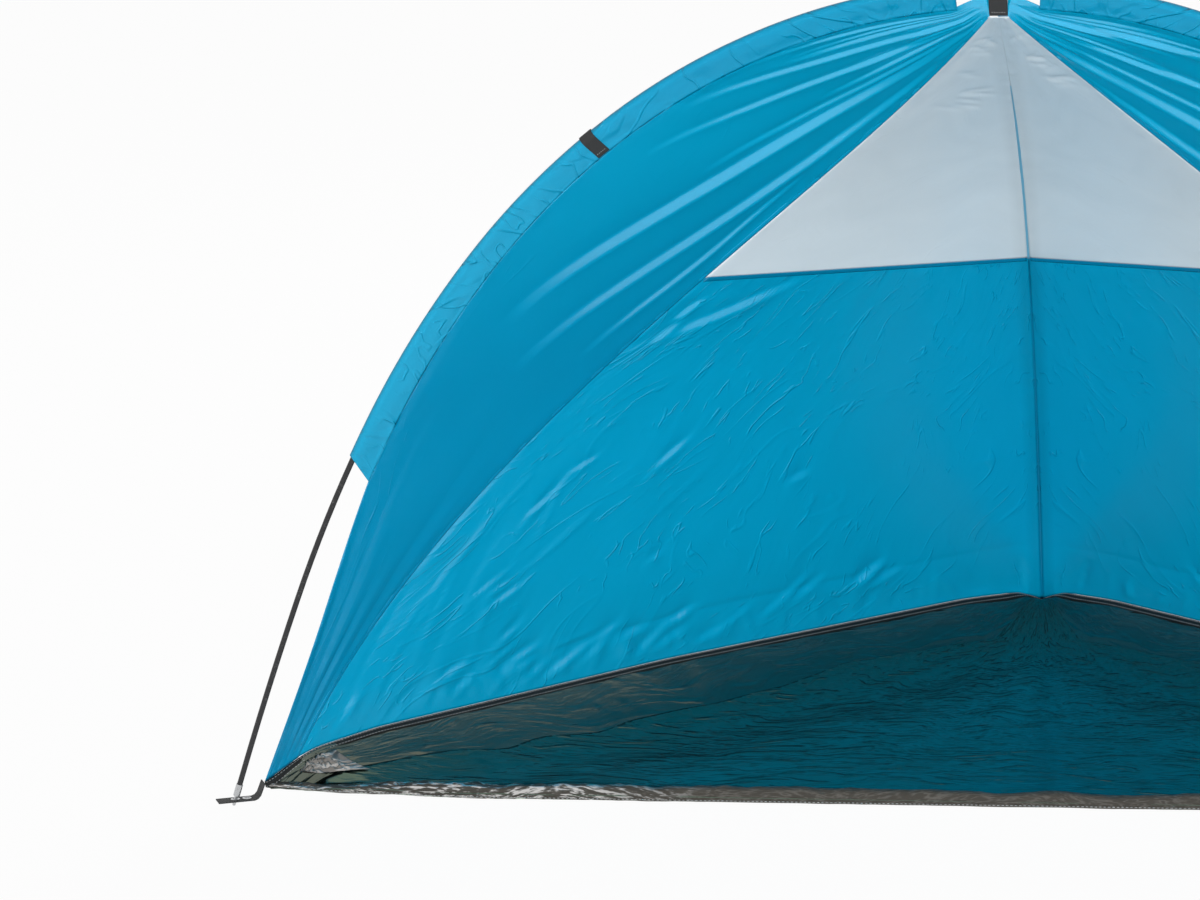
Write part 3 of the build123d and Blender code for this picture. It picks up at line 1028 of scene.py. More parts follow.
@dataclass(frozen=True)
class SheetFinish(Finish):
    """Film on woven tape, crinkled and glossy.

    The glint colour shows in painted glints, flecks far from the middle. Low is the colour at
    the foot of a raised side, where the painted sheen of the colour above fades out. Crumple
    and grain scale the depth and the fineness of the crinkles.
    """

    WANDER = (5.0, 0.1)
    PULL = 0.24
    COARSE_SCALE = 6.0
    COARSE_LINES = (0.09, 0.55)
    FINE_SCALE = 17.0
    FINE_LINES = (0.12, 0.6)
    WORN_SHARE = 0.6
    ROUGH_CHANGE = (-0.05, 0.07)
    PAINTED_GLINT_RANGE = (0.42, 0.60)
    PAINTED_GLINT_GLOSS = 0.3
    GLINT_RANGE = (0.50, 0.58)
    SHEEN_FADE_RANGE = (0.045, 0.105)
    SHEEN_FADE_UNEVEN = 0.06
    STRENGTHS = (0.25, 0.9, 0.9)
    DEPTHS = (0.0001, 0.0004, 0.0015)

    pale: Colour
    roughness: float = 0.15
    tape: float = 0.0026
    metallic: float = 0.0
    crumple: float = 1.0
    grain: float = 1.0
    ior: float = 2.2
    tint: Colour = (0.70, 1.0, 0.74)
    painted_glint: Colour | None = None
    low: Colour | None = None

    def dress(self, book: NodeBook, shader: Node, effects: Effects) -> None:
        """Gives the shader its looks."""
        cut = book.cut()
        weave = effects.weave(book, cut, self.tape)
        long = book.pulled(book.bent(cut, *self.WANDER), 0.0, self.PULL)
        coarse = effects.creases(book, long, self.COARSE_SCALE * self.grain, *self.COARSE_LINES)
        fine = effects.creases(book, long, self.FINE_SCALE * self.grain, *self.FINE_LINES)
        worn = book.math("MULTIPLY", fine.outputs["Lines"], self.WORN_SHARE)
        colour = book.blend(worn, rgba(self.colour), rgba(self.pale))
        ends = [self.roughness + change for change in self.ROUGH_CHANGE]
        rough = book.spread(coarse.outputs["Patches"], *PATCH_RANGE, *ends)
        metallic = self.metallic
        # Painted sheen: above its foot a raised side is painted lighter than the floor film; low brings
        # back the floor film's colour at the foot.
        if self.low:
            height = book.add("ShaderNodeSeparateXYZ", {0: cut}).outputs[1]
            uneven = book.math("MULTIPLY", coarse.outputs["Patches"], self.SHEEN_FADE_UNEVEN)
            share = book.spread(book.math("ADD", height, uneven), *self.SHEEN_FADE_RANGE, 1.0, 0.0)
            colour = book.blend(share, colour, rgba(self.low))
        # Painted glints: far from the middle, flecks of noise turn metallic and pale, for glints of
        # light on the crumpled film.
        if self.painted_glint:
            parts = book.add("ShaderNodeSeparateXYZ", {0: book.place()})
            off = book.math("ABSOLUTE", parts.outputs[0])
            glint = book.spread(fine.outputs["Patches"], *self.GLINT_RANGE, 0.0, 1.0)
            metallic = book.math("MULTIPLY", book.spread(off, *self.PAINTED_GLINT_RANGE, 0.0, 1.0), glint)
            colour = book.blend(metallic, colour, rgba(self.painted_glint))
            gloss = book.math("MULTIPLY", metallic, self.PAINTED_GLINT_GLOSS)
            rough = book.math("SUBTRACT", rough, gloss)
        book.feed(
            shader,
            {
                "Base Color": colour,
                "Roughness": rough,
                "Metallic": metallic,
                "IOR": self.ior,
                "Specular Tint": rgba(self.tint),
            },
        )
        depths = [depth * self.crumple for depth in self.DEPTHS]
        heights = [node.outputs["Height"] for node in (weave, fine, coarse)]
        book.bumps(shader, list(zip(self.STRENGTHS, depths, heights)))


@dataclass(frozen=True)
class WebbingFinish(Finish):
    """Woven tape or thread with coarse ribs."""

    FUZZ_SCALE = 900.0
    GAP_SHADE = 0.45
    FUZZ_SHADE = (1.5, 0.004)
    FUZZ_RANGE = (0.5, 0.75)
    FUZZ_SHARE = 0.6
    ROUGH_CHANGE = 0.1
    BUMP = (0.8, 0.0004)

    thread: float = 0.0011
    roughness: float = 0.7

    def dress(self, book: NodeBook, shader: Node, effects: Effects) -> None:
        """Gives the shader its looks."""
        weave = effects.weave(book, book.cut(), self.thread)
        inputs = {"Vector": book.place(), "Scale": self.FUZZ_SCALE, "Detail": 3.0}
        fuzz = book.add("ShaderNodeTexNoise", inputs).outputs[0]
        dark = rgba(self.colour, self.GAP_SHADE)
        colour = book.blend(weave.outputs["Gap"], rgba(self.colour), dark)
        times, plus = self.FUZZ_SHADE
        pale = tuple(min(1.0, times * part + plus) for part in self.colour)
        worn = book.spread(fuzz, *self.FUZZ_RANGE, 0.0, self.FUZZ_SHARE)
        low, high = self.roughness - self.ROUGH_CHANGE, self.roughness + self.ROUGH_CHANGE
        rough = book.spread(fuzz, *PATCH_RANGE, low, high)
        book.feed(shader, {"Base Color": book.blend(worn, colour, rgba(pale)), "Roughness": rough})
        book.bumps(shader, [(*self.BUMP, weave.outputs["Height"])])


@dataclass(frozen=True)
class HardFinish(Finish):
    """A rod or fitting with fine drawn lines and small scuffs."""

    LINE_SCALE = 1500.0
    SCUFFS = (90.0, 0.02, 0.5)
    SCUFF_SHARE = 0.5
    ROUGH_CHANGE = (-0.07, 0.1)
    BUMP = (0.3, 0.00008)

    roughness: float
    metallic: float = 0.0
    stretch: Triple = (1.0, 1.0, 0.05)
    scuff: Colour = (0.2, 0.2, 0.2)

    def dress(self, book: NodeBook, shader: Node, effects: Effects) -> None:
        """Gives the shader its looks."""
        place = book.place()
        drawn = book.add("ShaderNodeMapping", {"Vector": place, "Scale": self.stretch}).outputs[0]
        inputs = {"Vector": drawn, "Scale": self.LINE_SCALE, "Detail": 2.0}
        lines = book.add("ShaderNodeTexNoise", inputs).outputs[0]
        wear = effects.creases(book, place, *self.SCUFFS)
        marks = book.math("MULTIPLY", wear.outputs["Lines"], self.SCUFF_SHARE)
        colour = book.blend(marks, rgba(self.colour), rgba(self.scuff))
        ends = [self.roughness + change for change in self.ROUGH_CHANGE]
        rough = book.spread(lines, *PATCH_RANGE, *ends)
        book.feed(shader, {"Base Color": colour, "Roughness": rough, "Metallic": self.metallic})
        book.bumps(shader, [(*self.BUMP, lines)])


class Finishes:
    """Every material of the shelter."""

    BLUE = (0.0, 0.285, 0.515)
    # Painted shade: a darker copy of the blue cloth for seam tapes where less light comes through.
    BLUE_PAINTED_SHADE = (0.0, 0.190, 0.350)
    # Painted light: the back panels are the same blue cloth, painted lighter for light coming through
    # from outside, and lighter still towards their foot.
    BLUE_BACK_PAINTED_LIGHT = (0.0, 0.335, 0.570)
    BLUE_FOOT_PAINTED_LIGHT = (0.0, 0.350, 0.595)
    BLUE_SLEEVE = (0.006, 0.300, 0.500)
    # Painted shade: the sleeve is painted darker at the crown.
    BLUE_CROWN_PAINTED_SHADE = (0.0, 0.262, 0.455)
    # Painted light: the upper gore and the ridge tape are painted lighter than the same cloth lower
    # down.
    BLUE_TOP_PAINTED_LIGHT = (0.0, 0.360, 0.605)
    # Painted light: the blue of the rear sleeve showing through the grey cloth, painted onto the upper
    # rear tape.
    BLUE_PAINTED_THROUGH = (0.14, 0.40, 0.58)
    GREY = (0.725, 0.800, 0.845)
    GREY_SHADE = (0.685, 0.760, 0.805)
    FILM = (0.0012, 0.0020, 0.0023)
    FILM_WORN = (0.011, 0.017, 0.018)
    # Painted sheen: the raised sides' film and its creases, painted lighter than the floor film.
    WALL_FILM_PAINTED_SHEEN = (0.0080, 0.0130, 0.0145)
    WALL_WORN_AND_SHEEN = (0.026, 0.036, 0.038)
    WALL_TINT = (0.78, 0.88, 0.70)
    HEM_FILM = (0.046, 0.039, 0.035)
    HEM_WORN = (0.13, 0.12, 0.11)
    # Painted glints on the folded hem.
    HEM_PAINTED_GLINT = (0.58, 0.57, 0.56)
    # Painted reflection: the corner patch and its pale lines stand for light caught by the gathered
    # film.
    PATCH_PAINTED_GLINT = (0.20, 0.185, 0.172)
    PATCH_WORN_AND_GLINT = (0.60, 0.58, 0.56)
    # Heights over which the painted light of the upper gore fades into the cloth's colour.
    PAINTED_LIGHT_RANGE = (0.94, 0.60)
    # Heights over which the painted shade of the sleeve's crown fades out.
    CROWN_SHADE_RANGE = (1.05, 0.85)
    GORE_TURN = -0.31
    BACK_TURN = 2.25
    LEVEL_TURN = 1.57
    SLEEVE_TURN = 0.8

    def __init__(self) -> None:
        """Builds the materials."""
        effects = Effects()
        # Painted light: the gore is painted lighter towards the top.
        self.blue = ClothFinish(
            "blue cloth", self.BLUE_TOP_PAINTED_LIGHT, self.BLUE_TOP_PAINTED_LIGHT, self.GORE_TURN, crease_depth=0.0004, coat=1.0,
            foot=self.BLUE, foot_range=self.PAINTED_LIGHT_RANGE,
        ).build(effects)
        # Painted shade: the sleeve is painted darker towards the crown.
        self.sleeve = ClothFinish(
            "blue sleeve cloth", self.BLUE_CROWN_PAINTED_SHADE, self.BLUE_CROWN_PAINTED_SHADE, self.SLEEVE_TURN, 0.34, coat=0.0,
            foot=self.BLUE_SLEEVE, foot_range=self.CROWN_SHADE_RANGE, specular=0.35, crease_depth=0.0014,
            fine_depth=0.0010, creased=0.6,
        ).build(effects)
        # Painted light: the ridge tape is painted lighter towards the top, like the gore.
        self.tape = ClothFinish(
            "blue tape", self.BLUE_TOP_PAINTED_LIGHT, self.BLUE_TOP_PAINTED_LIGHT, self.LEVEL_TURN, 0.4, crease_depth=0.0002,
            coat=0.1, foot=self.BLUE, foot_range=self.PAINTED_LIGHT_RANGE,
        ).build(effects)
        # Painted light: the rear sleeve's blue seen through the grey, painted onto the upper rear tape.
        self.painted_through_blue = ClothFinish(
            "blue seam seen through grey", self.BLUE_PAINTED_THROUGH, self.BLUE_PAINTED_THROUGH, self.LEVEL_TURN, 0.4,
            crease_depth=0.0002, coat=0.1,
        ).build(effects)
        # Painted shade: seam tapes in a darker copy of the blue cloth.
        self.painted_shade_blue = ClothFinish(
            "double blue cloth with painted shade", self.BLUE_PAINTED_SHADE, self.BLUE_PAINTED_SHADE, self.LEVEL_TURN
        ).build(effects)
        # Painted light: the lower back is painted lighter than the gore and lighter still near its
        # foot, and it carries the painted shadow of the rear pole.
        self.back_blue_painted_light = ClothFinish(
            "blue back cloth", self.BLUE_BACK_PAINTED_LIGHT, self.BLUE_BACK_PAINTED_LIGHT, self.BACK_TURN, crease_depth=0.0007,
            band=0.3, fine_depth=0.0011, creased=0.48, foot=self.BLUE_FOOT_PAINTED_LIGHT,
        ).build(effects)
        # The grey cloth carries a weaker painted shadow of the rear pole.
        self.grey = ClothFinish(
            "grey cloth", self.GREY, self.GREY_SHADE, self.LEVEL_TURN, crease_depth=0.0004, band=0.15
        ).build(effects)
        self.sheet = SheetFinish("black groundsheet", self.FILM, self.FILM_WORN, 0.17).build(effects)
        # Painted sheen: the raised sides are the same black film, painted lighter than the floor and
        # back to the floor's colour at their foot.
        self.painted_sheen_wall_sheet = SheetFinish(
            "black groundsheet wall", self.WALL_FILM_PAINTED_SHEEN, self.WALL_WORN_AND_SHEEN, 0.18, tint=self.WALL_TINT,
            low=self.FILM,
        ).build(effects)
        # Painted glints: the hem's flecks towards its ends stand for glints of light on the crumpled
        # film.
        self.hem = SheetFinish(
            "folded groundsheet", self.HEM_FILM, self.HEM_WORN, 0.60, crumple=0.35, grain=4.0,
            ior=1.45, painted_glint=self.HEM_PAINTED_GLINT,
        ).build(effects)
        # Painted reflection: a metallic finish for the corner patch, for light caught by the gathered
        # film.
        self.painted_glint = SheetFinish(
            "silver corner patch", self.PATCH_PAINTED_GLINT, self.PATCH_WORN_AND_GLINT, 0.30, tape=0.0032,
            metallic=0.85, crumple=2.2, ior=1.5,
        ).build(effects)
        self.webbing = WebbingFinish("black webbing", (0.028, 0.029, 0.030)).build(effects)
        self.binding = WebbingFinish("black binding", (0.006, 0.007, 0.007), 0.0007).build(effects)
        self.pale_thread = WebbingFinish("grey thread", (0.52, 0.53, 0.53), 0.0003).build(effects)
        self.blue_thread = WebbingFinish("blue thread", (0.01, 0.27, 0.46), 0.0003).build(effects)
        self.pole = HardFinish("black fibreglass", (0.012, 0.012, 0.013), 0.42).build(effects)
        self.steel = HardFinish(
            "drawn steel", (0.52, 0.53, 0.54), 0.3, metallic=1.0, scuff=(0.25, 0.25, 0.26)
        ).build(effects)


@dataclass(frozen=True)
class Canopy:
    """The stretched cloth: a front gore and two back panels to each side.

    A cut is the rectangle out of which a panel is cut. An uneven pair gives the heights of the
    slack and of the puckers along the seams.
    """

    finishes: Finishes
    thickness: float = 0.0006
    gore_cells: Cells = (230, 120)
    gore_cut: Span = (1.75, 0.50)
    gore_uneven: Span = (0.0010, 0.0006)
    upper_cells: Cells = (160, 80)
    upper_cut: Span = (0.78, 0.62)
    upper_uneven: Span = (0.0008, 0.0005)
    upper_count: int = 15
    lower_cells: Cells = (170, 190)
    lower_cut: Span = (0.95, 1.55)
    lower_uneven: Span = (0.0012, 0.0008)
    fleck_count: int = 34
    tuck: float = 0.004
    tuck_depth: float = 0.0011
    left_seed: int = 11
    right_seed: int = 53

    def panel(
        self, name: str, side: Side, surface: Surface, cells: Cells, size: Span, material: Material,
        slot: Slot,
    ) -> None:
        """Builds one panel that replaces the node of its name.

        Args:
            name: Name of the node, without its side.
            side: Half of the shelter.
            surface: The creased panel.
            cells: Cells of the grid.
            size: Length and width of the cut, in metres.
            material: Finish of the cloth.
            slot: Slot of the record.
        """
        node = f"{name}_{side.value}"
        bm = grid_sheet(cells, surface, True, side.mirrored, size)
        area = area_of(bm)
        piece = finish_piece(bm, f"{node}_cloth", material, slot, [node], self.thickness)

    def tucked(self, u: Array, v: Array) -> Array:
        """The back with its front edge a little past the ridge, behind the gore."""
        points = LINES.back(u, v * (1 + self.tuck) - self.tuck)
        behind = smooth_step(3 * self.tuck, 0, v) * self.tuck_depth
        return points - behind[:, None] * LINES.INWARD[None, :]

    def gore_folds(self, side: Side, seed: int) -> list[Fold]:
        """Folds of a front gore, pulled at the apex and at the front corner."""
        streaks = [
            Fold.facet(Run.ALONG, path, width, -height, narrow=0.4)
            for path, width, height in (
                (((0.05, 0.86), (0.246, 0.672), (0.358, 0.566), (0.54, 0.24)), 0.0125, 0.0043),
                (((0.10, 0.94), (0.308, 0.85), (0.40, 0.776), (0.58, 0.49)), 0.0100, 0.0035),
                (((0.04, 0.66), (0.256, 0.314), (0.34, 0.14)), 0.0060, 0.0023),
                (((0.02, 0.52), (0.198, 0.21), (0.28, 0.04)), 0.0060, 0.0023),
                (((0.04, 0.80), (0.20, 0.642), (0.34, 0.47)), 0.0056, 0.0021),
                (((0.30, 0.90), (0.424, 0.90), (0.55, 0.80)), 0.0060, 0.0022),
            )
        ]
        if side.mirrored:
            draw = random.Random(seed)
            streaks = [fold.shifted(draw) for fold in streaks]
        apex = fan(
            seed, 10, start=(0.0, 0.02), end=(0.10, 0.24), across=(0.15, 0.97),
            width=(0.0028, 0.0055), height=(0.0009, 0.0019), drift=-0.9, shape=FoldShape.FACET,
        )
        corner = fan(
            seed + 1, 7, start=(1.0, 0.99), end=(0.62, 0.80), across=(0.1, 1.0),
            width=(0.010, 0.018), height=(0.0005, 0.0011), drift=0.4,
        )
        return streaks + apex + corner

    def lower_folds(self, side: Side, seed: int) -> list[Fold]:
        """Folds of a lower back panel, with a crease along its foot."""
        foot = (
            (0.862, 1.05), (0.872, 0.85), (0.876, 0.726), (0.878, 0.588), (0.89, 0.47),
            (0.896, 0.394), (0.926, 0.23), (0.948, 0.166), (0.974, 0.116), (0.99, 0.05),
        )
        folds = [
            Fold(Run.ACROSS, foot, 0.006, 0.0014, crest=1.3, lean=0.3),
            Fold(Run.ALONG, ((0.56, 0.240), (0.66, 0.202), (0.75, 0.158)), 0.006, -0.0016),
            Fold(Run.ALONG, ((0.47, 0.138), (0.66, 0.178)), 0.005, -0.0010),
            Fold(Run.ALONG, ((0.72, 0.151), (0.88, 0.180)), 0.006, -0.0014),
            Fold(Run.ACROSS, ((0.875, 0.356), (0.925, 0.276)), 0.005, -0.0014),
            Fold(Run.ALONG, ((0.89, 0.381), (0.96, 0.386)), 0.006, -0.0014),
            Fold(Run.ALONG, ((0.45, 0.070), (0.648, 0.060), (0.84, 0.050)), 0.006, -0.0016),
            Fold(Run.ALONG, ((0.50, 0.400), (0.64, 0.336)), 0.006, -0.0010),
            Fold.facet(Run.ACROSS, ((0.02, 0.31), (0.09, 0.18), (0.15, 0.06)), 0.009, -0.0033),
            Fold.facet(Run.ALONG, ((0.05, 0.068), (0.11, 0.054)), 0.006, -0.0023),
            Fold.facet(Run.ALONG, ((0.105, 0.074), (0.165, 0.056)), 0.006, -0.0023),
        ]
        if side.mirrored:
            draw = random.Random(seed)
            folds = folds[:1] + [fold.shifted(draw) for fold in folds[1:]]
        corner = fan(
            seed, 6, start=(1.0, 0.99), end=(0.55, 0.80), across=(0.0, 0.16),
            width=(0.008, 0.013), height=(0.0008, 0.0016), drift=0.1,
        )
        wall = fan(
            seed + 9, 30, start=(1.0, 0.995), end=(0.89, 0.94), across=(0.02, 0.98),
            width=(0.006, 0.011), height=(0.0012, 0.0030), drift=0.2, narrow=0.8,
        )
        return folds + self.flecks(seed + 17) + corner + wall

    def flecks(self, seed: int) -> list[Fold]:
        """Short strokes that face up and out, most of them along the foot of a lower back panel."""
        draw = random.Random(seed)
        folds = []
        for i in range(self.fleck_count):
            place, start = draw.uniform(0.90, 0.985), draw.uniform(0.10, 0.74)
            if i % 4 == 0:
                place, start = draw.uniform(0.45, 0.88), draw.uniform(0.12, 0.60)
            length = draw.uniform(0.020, 0.055)
            width = draw.uniform(0.0042, 0.0068)
            end = (place - draw.uniform(0.3, 2.2) * length, start + length)
            slope = draw.uniform(0.34, 0.48)
            folds.append(Fold.facet(Run.ACROSS, ((place, start), end), width, -slope * width))
        return folds

    def upper_folds(self, seed: int) -> list[Fold]:
        """Folds of an upper back panel, short ones across its top."""
        draw = random.Random(seed)
        folds = []
        for _ in range(self.upper_count):
            place, start = draw.uniform(0.07, 0.44), draw.uniform(0.05, 0.55)
            end = start + draw.uniform(0.25, 0.42)
            path = ((place, start), (place + draw.uniform(-0.02, 0.03), end))
            width, height = draw.uniform(0.0050, 0.0066), draw.uniform(0.0007, 0.0014)
            folds.append(Fold(Run.ACROSS, path, width, height))
        return folds

    def build(self, side: Side) -> None:
        """Builds the panels of one half.

        Args:
            side: Half of the shelter.
        """
        seed = self.right_seed if side.mirrored else self.left_seed
        share = LINES.colour_share
        gore = CreasedSurface(LINES.gore, self.gore_folds(side, seed), seed, *self.gore_uneven)
        self.panel(
            "front_gore", side, gore, self.gore_cells, self.gore_cut,
            self.finishes.blue, Slot.BLUE,
        )

        def upper_base(u: Array, v: Array) -> Array:
            """The back above the change of colour."""
            return self.tucked(u * share, v)

        def lower_base(u: Array, v: Array) -> Array:
            """The back below the change of colour."""
            return self.tucked(share + u * (1 - share), v)

        folds = self.upper_folds(seed + 2)
        upper = CreasedSurface(upper_base, folds, seed + 3, *self.upper_uneven)
        self.panel(
            "upper_back_panel", side, upper, self.upper_cells, self.upper_cut,
            self.finishes.grey, Slot.GREY,
        )
        folds = self.lower_folds(side, seed + 4)
        lower = CreasedSurface(lower_base, folds, seed + 5, *self.lower_uneven)
        self.panel(
            "lower_back_panel", side, lower, self.lower_cells, self.lower_cut,
            self.finishes.back_blue_painted_light, Slot.BLUE,
        )


@dataclass(frozen=True)
class LoopSection:
    """Section of a band round a pole whose two layers meet at a seam."""

    radius: float
    reach: float
    gap: float

    ROUND_POINTS = 25

    @property
    def turn(self) -> float:
        """Angle at which the layers leave the round part."""
        return math.acos(self.radius / self.reach)

    @property
    def length(self) -> float:
        """Length of the cut round the section."""
        straight = math.sqrt(self.reach**2 - self.radius**2)
        return 2 * straight + 2 * (math.pi - self.turn) * self.radius

    def at(self, shares: Array) -> tuple[Array, Array]:
        """Points of the section.

        Args:
            shares: Shares of the way from the seam round the pole and back.

        Returns:
            Distances towards the seam and across.
        """
        angles = np.linspace(self.turn, 2 * math.pi - self.turn, self.ROUND_POINTS)
        first = np.array([[self.reach, self.gap]])
        round_pole = self.radius * np.stack([np.cos(angles), np.sin(angles)], axis=-1)
        corners = np.concatenate([first, round_pole, first * [1, -1]])
        steps = np.linalg.norm(np.diff(corners, axis=0), axis=1)
        run = np.concatenate([[0.0], np.cumsum(steps)])
        run /= run[-1]
        return np.interp(shares, run, corners[:, 0]), np.interp(shares, run, corners[:, 1])


@dataclass(frozen=True)
class Sleeves:
    """Cloth sleeves that the poles slide into."""

    finishes: Finishes
    cells: Cells = (240, 24)
    thickness: float = 0.0006
    gap: float = 0.0005
    pucker: float = 0.0028
    pucker_reach: float = 0.010
    pucker_scale: Span = (70, 1.5)
    crown_run: Span = (0.5, 0.1)
    bulge: float = 0.0016
    bulge_scale: float = 14
    bulge_row: float = 5
    seam_fade: float = 0.1
    front_overlap: float = 0.0010
    rear_ease: float = 0.002
    cut_allowance: float = 1.04
    left_seed: int = 71
    right_seed: int = 83
    rear_seed: int = 97

    def surface(
        self, pole: BentPole, lean: float, reach: float, ends: Span, slope: float, seed: int
    ) -> Surface:
        """Sleeve round a pole.

        Args:
            pole: The pole.
            lean: Lean of the flat part against the plane of the pole.
            reach: Distance from the pole to the seam.
            ends: Lengths along the pole of the two ends.
            slope: How the first end falls away towards the seam.
            seed: Seed of the puckers.

        Returns:
            The surface.
        """
        section = LoopSection(SIZES.sleeve_radius, reach, self.gap)
        noise = SmoothNoise(seed)
        fine, wide = self.pucker_scale
        low, high = ends

        def place(u: Array, v: Array) -> Array:
            """Points of the sleeve, u along the pole and v round it."""
            inward, across = section.at(v)
            first = low - slope * inward
            run = first + (high - first) * u
            flat = np.clip(inward / reach, 0, 1)
            near = np.exp(-(1 - flat) * reach / self.pucker_reach)
            crown = 1 + smooth_step(high - self.crown_run[0], high - self.crown_run[1], run)
            wave = self.pucker * crown * noise.at(run * fine, flat * wide) * near
            bulge = self.bulge * noise.layered(run * self.bulge_scale, flat + self.bulge_row)
            wave = wave + bulge * np.sin(math.pi * flat)
            across = across + wave * smooth_step(0, self.seam_fade, 1 - flat)
            return pole.leaning(run, inward, across, lean)

        return place

    def sew(self, name: str, surface: Surface, mirrored: bool, length: float) -> None:
        """Builds a sleeve that replaces the node of its name.

        Args:
            name: Name of the node.
            surface: The sleeve's surface.
            mirrored: Whether it is mirrored to the right.
            length: Length of the cut.
        """
        round_length = LoopSection(SIZES.sleeve_radius, SIZES.sleeve_width, self.gap).length
        bm = grid_sheet(self.cells, surface, False, mirrored, (length, round_length))
        area = area_of(bm)
        piece = finish_piece(
            bm, f"{name}_cloth", self.finishes.sleeve, Slot.BLUE, [name], self.thickness
        )

    def build(self) -> None:
        """Builds the sleeves of the front and rear poles."""
        ends = (SIZES.sleeve_from_foot, LINES.front.length / 2 - SIZES.sleeve_from_crown)
        length = ends[1] - SIZES.sleeve_from_foot + SIZES.sleeve_slant
        slope = SIZES.sleeve_slant / SIZES.sleeve_width
        reach = SIZES.sleeve_width + self.front_overlap
        for side in Side:
            seed = self.right_seed if side.mirrored else self.left_seed
            surface = self.surface(LINES.front, SIZES.sleeve_lean, reach, ends, slope, seed)
            self.sew(f"front_sleeve_{side.value}", surface, side.mirrored, length)
        length = LINES.rear.length - SIZES.rear_sleeve_from_foot
        reach = SIZES.sleeve_width - self.rear_ease
        surface = self.surface(LINES.rear, 0.0, reach, (0.0, length), 0.0, self.rear_seed)
        self.sew("rear_sleeve", surface, False, length)


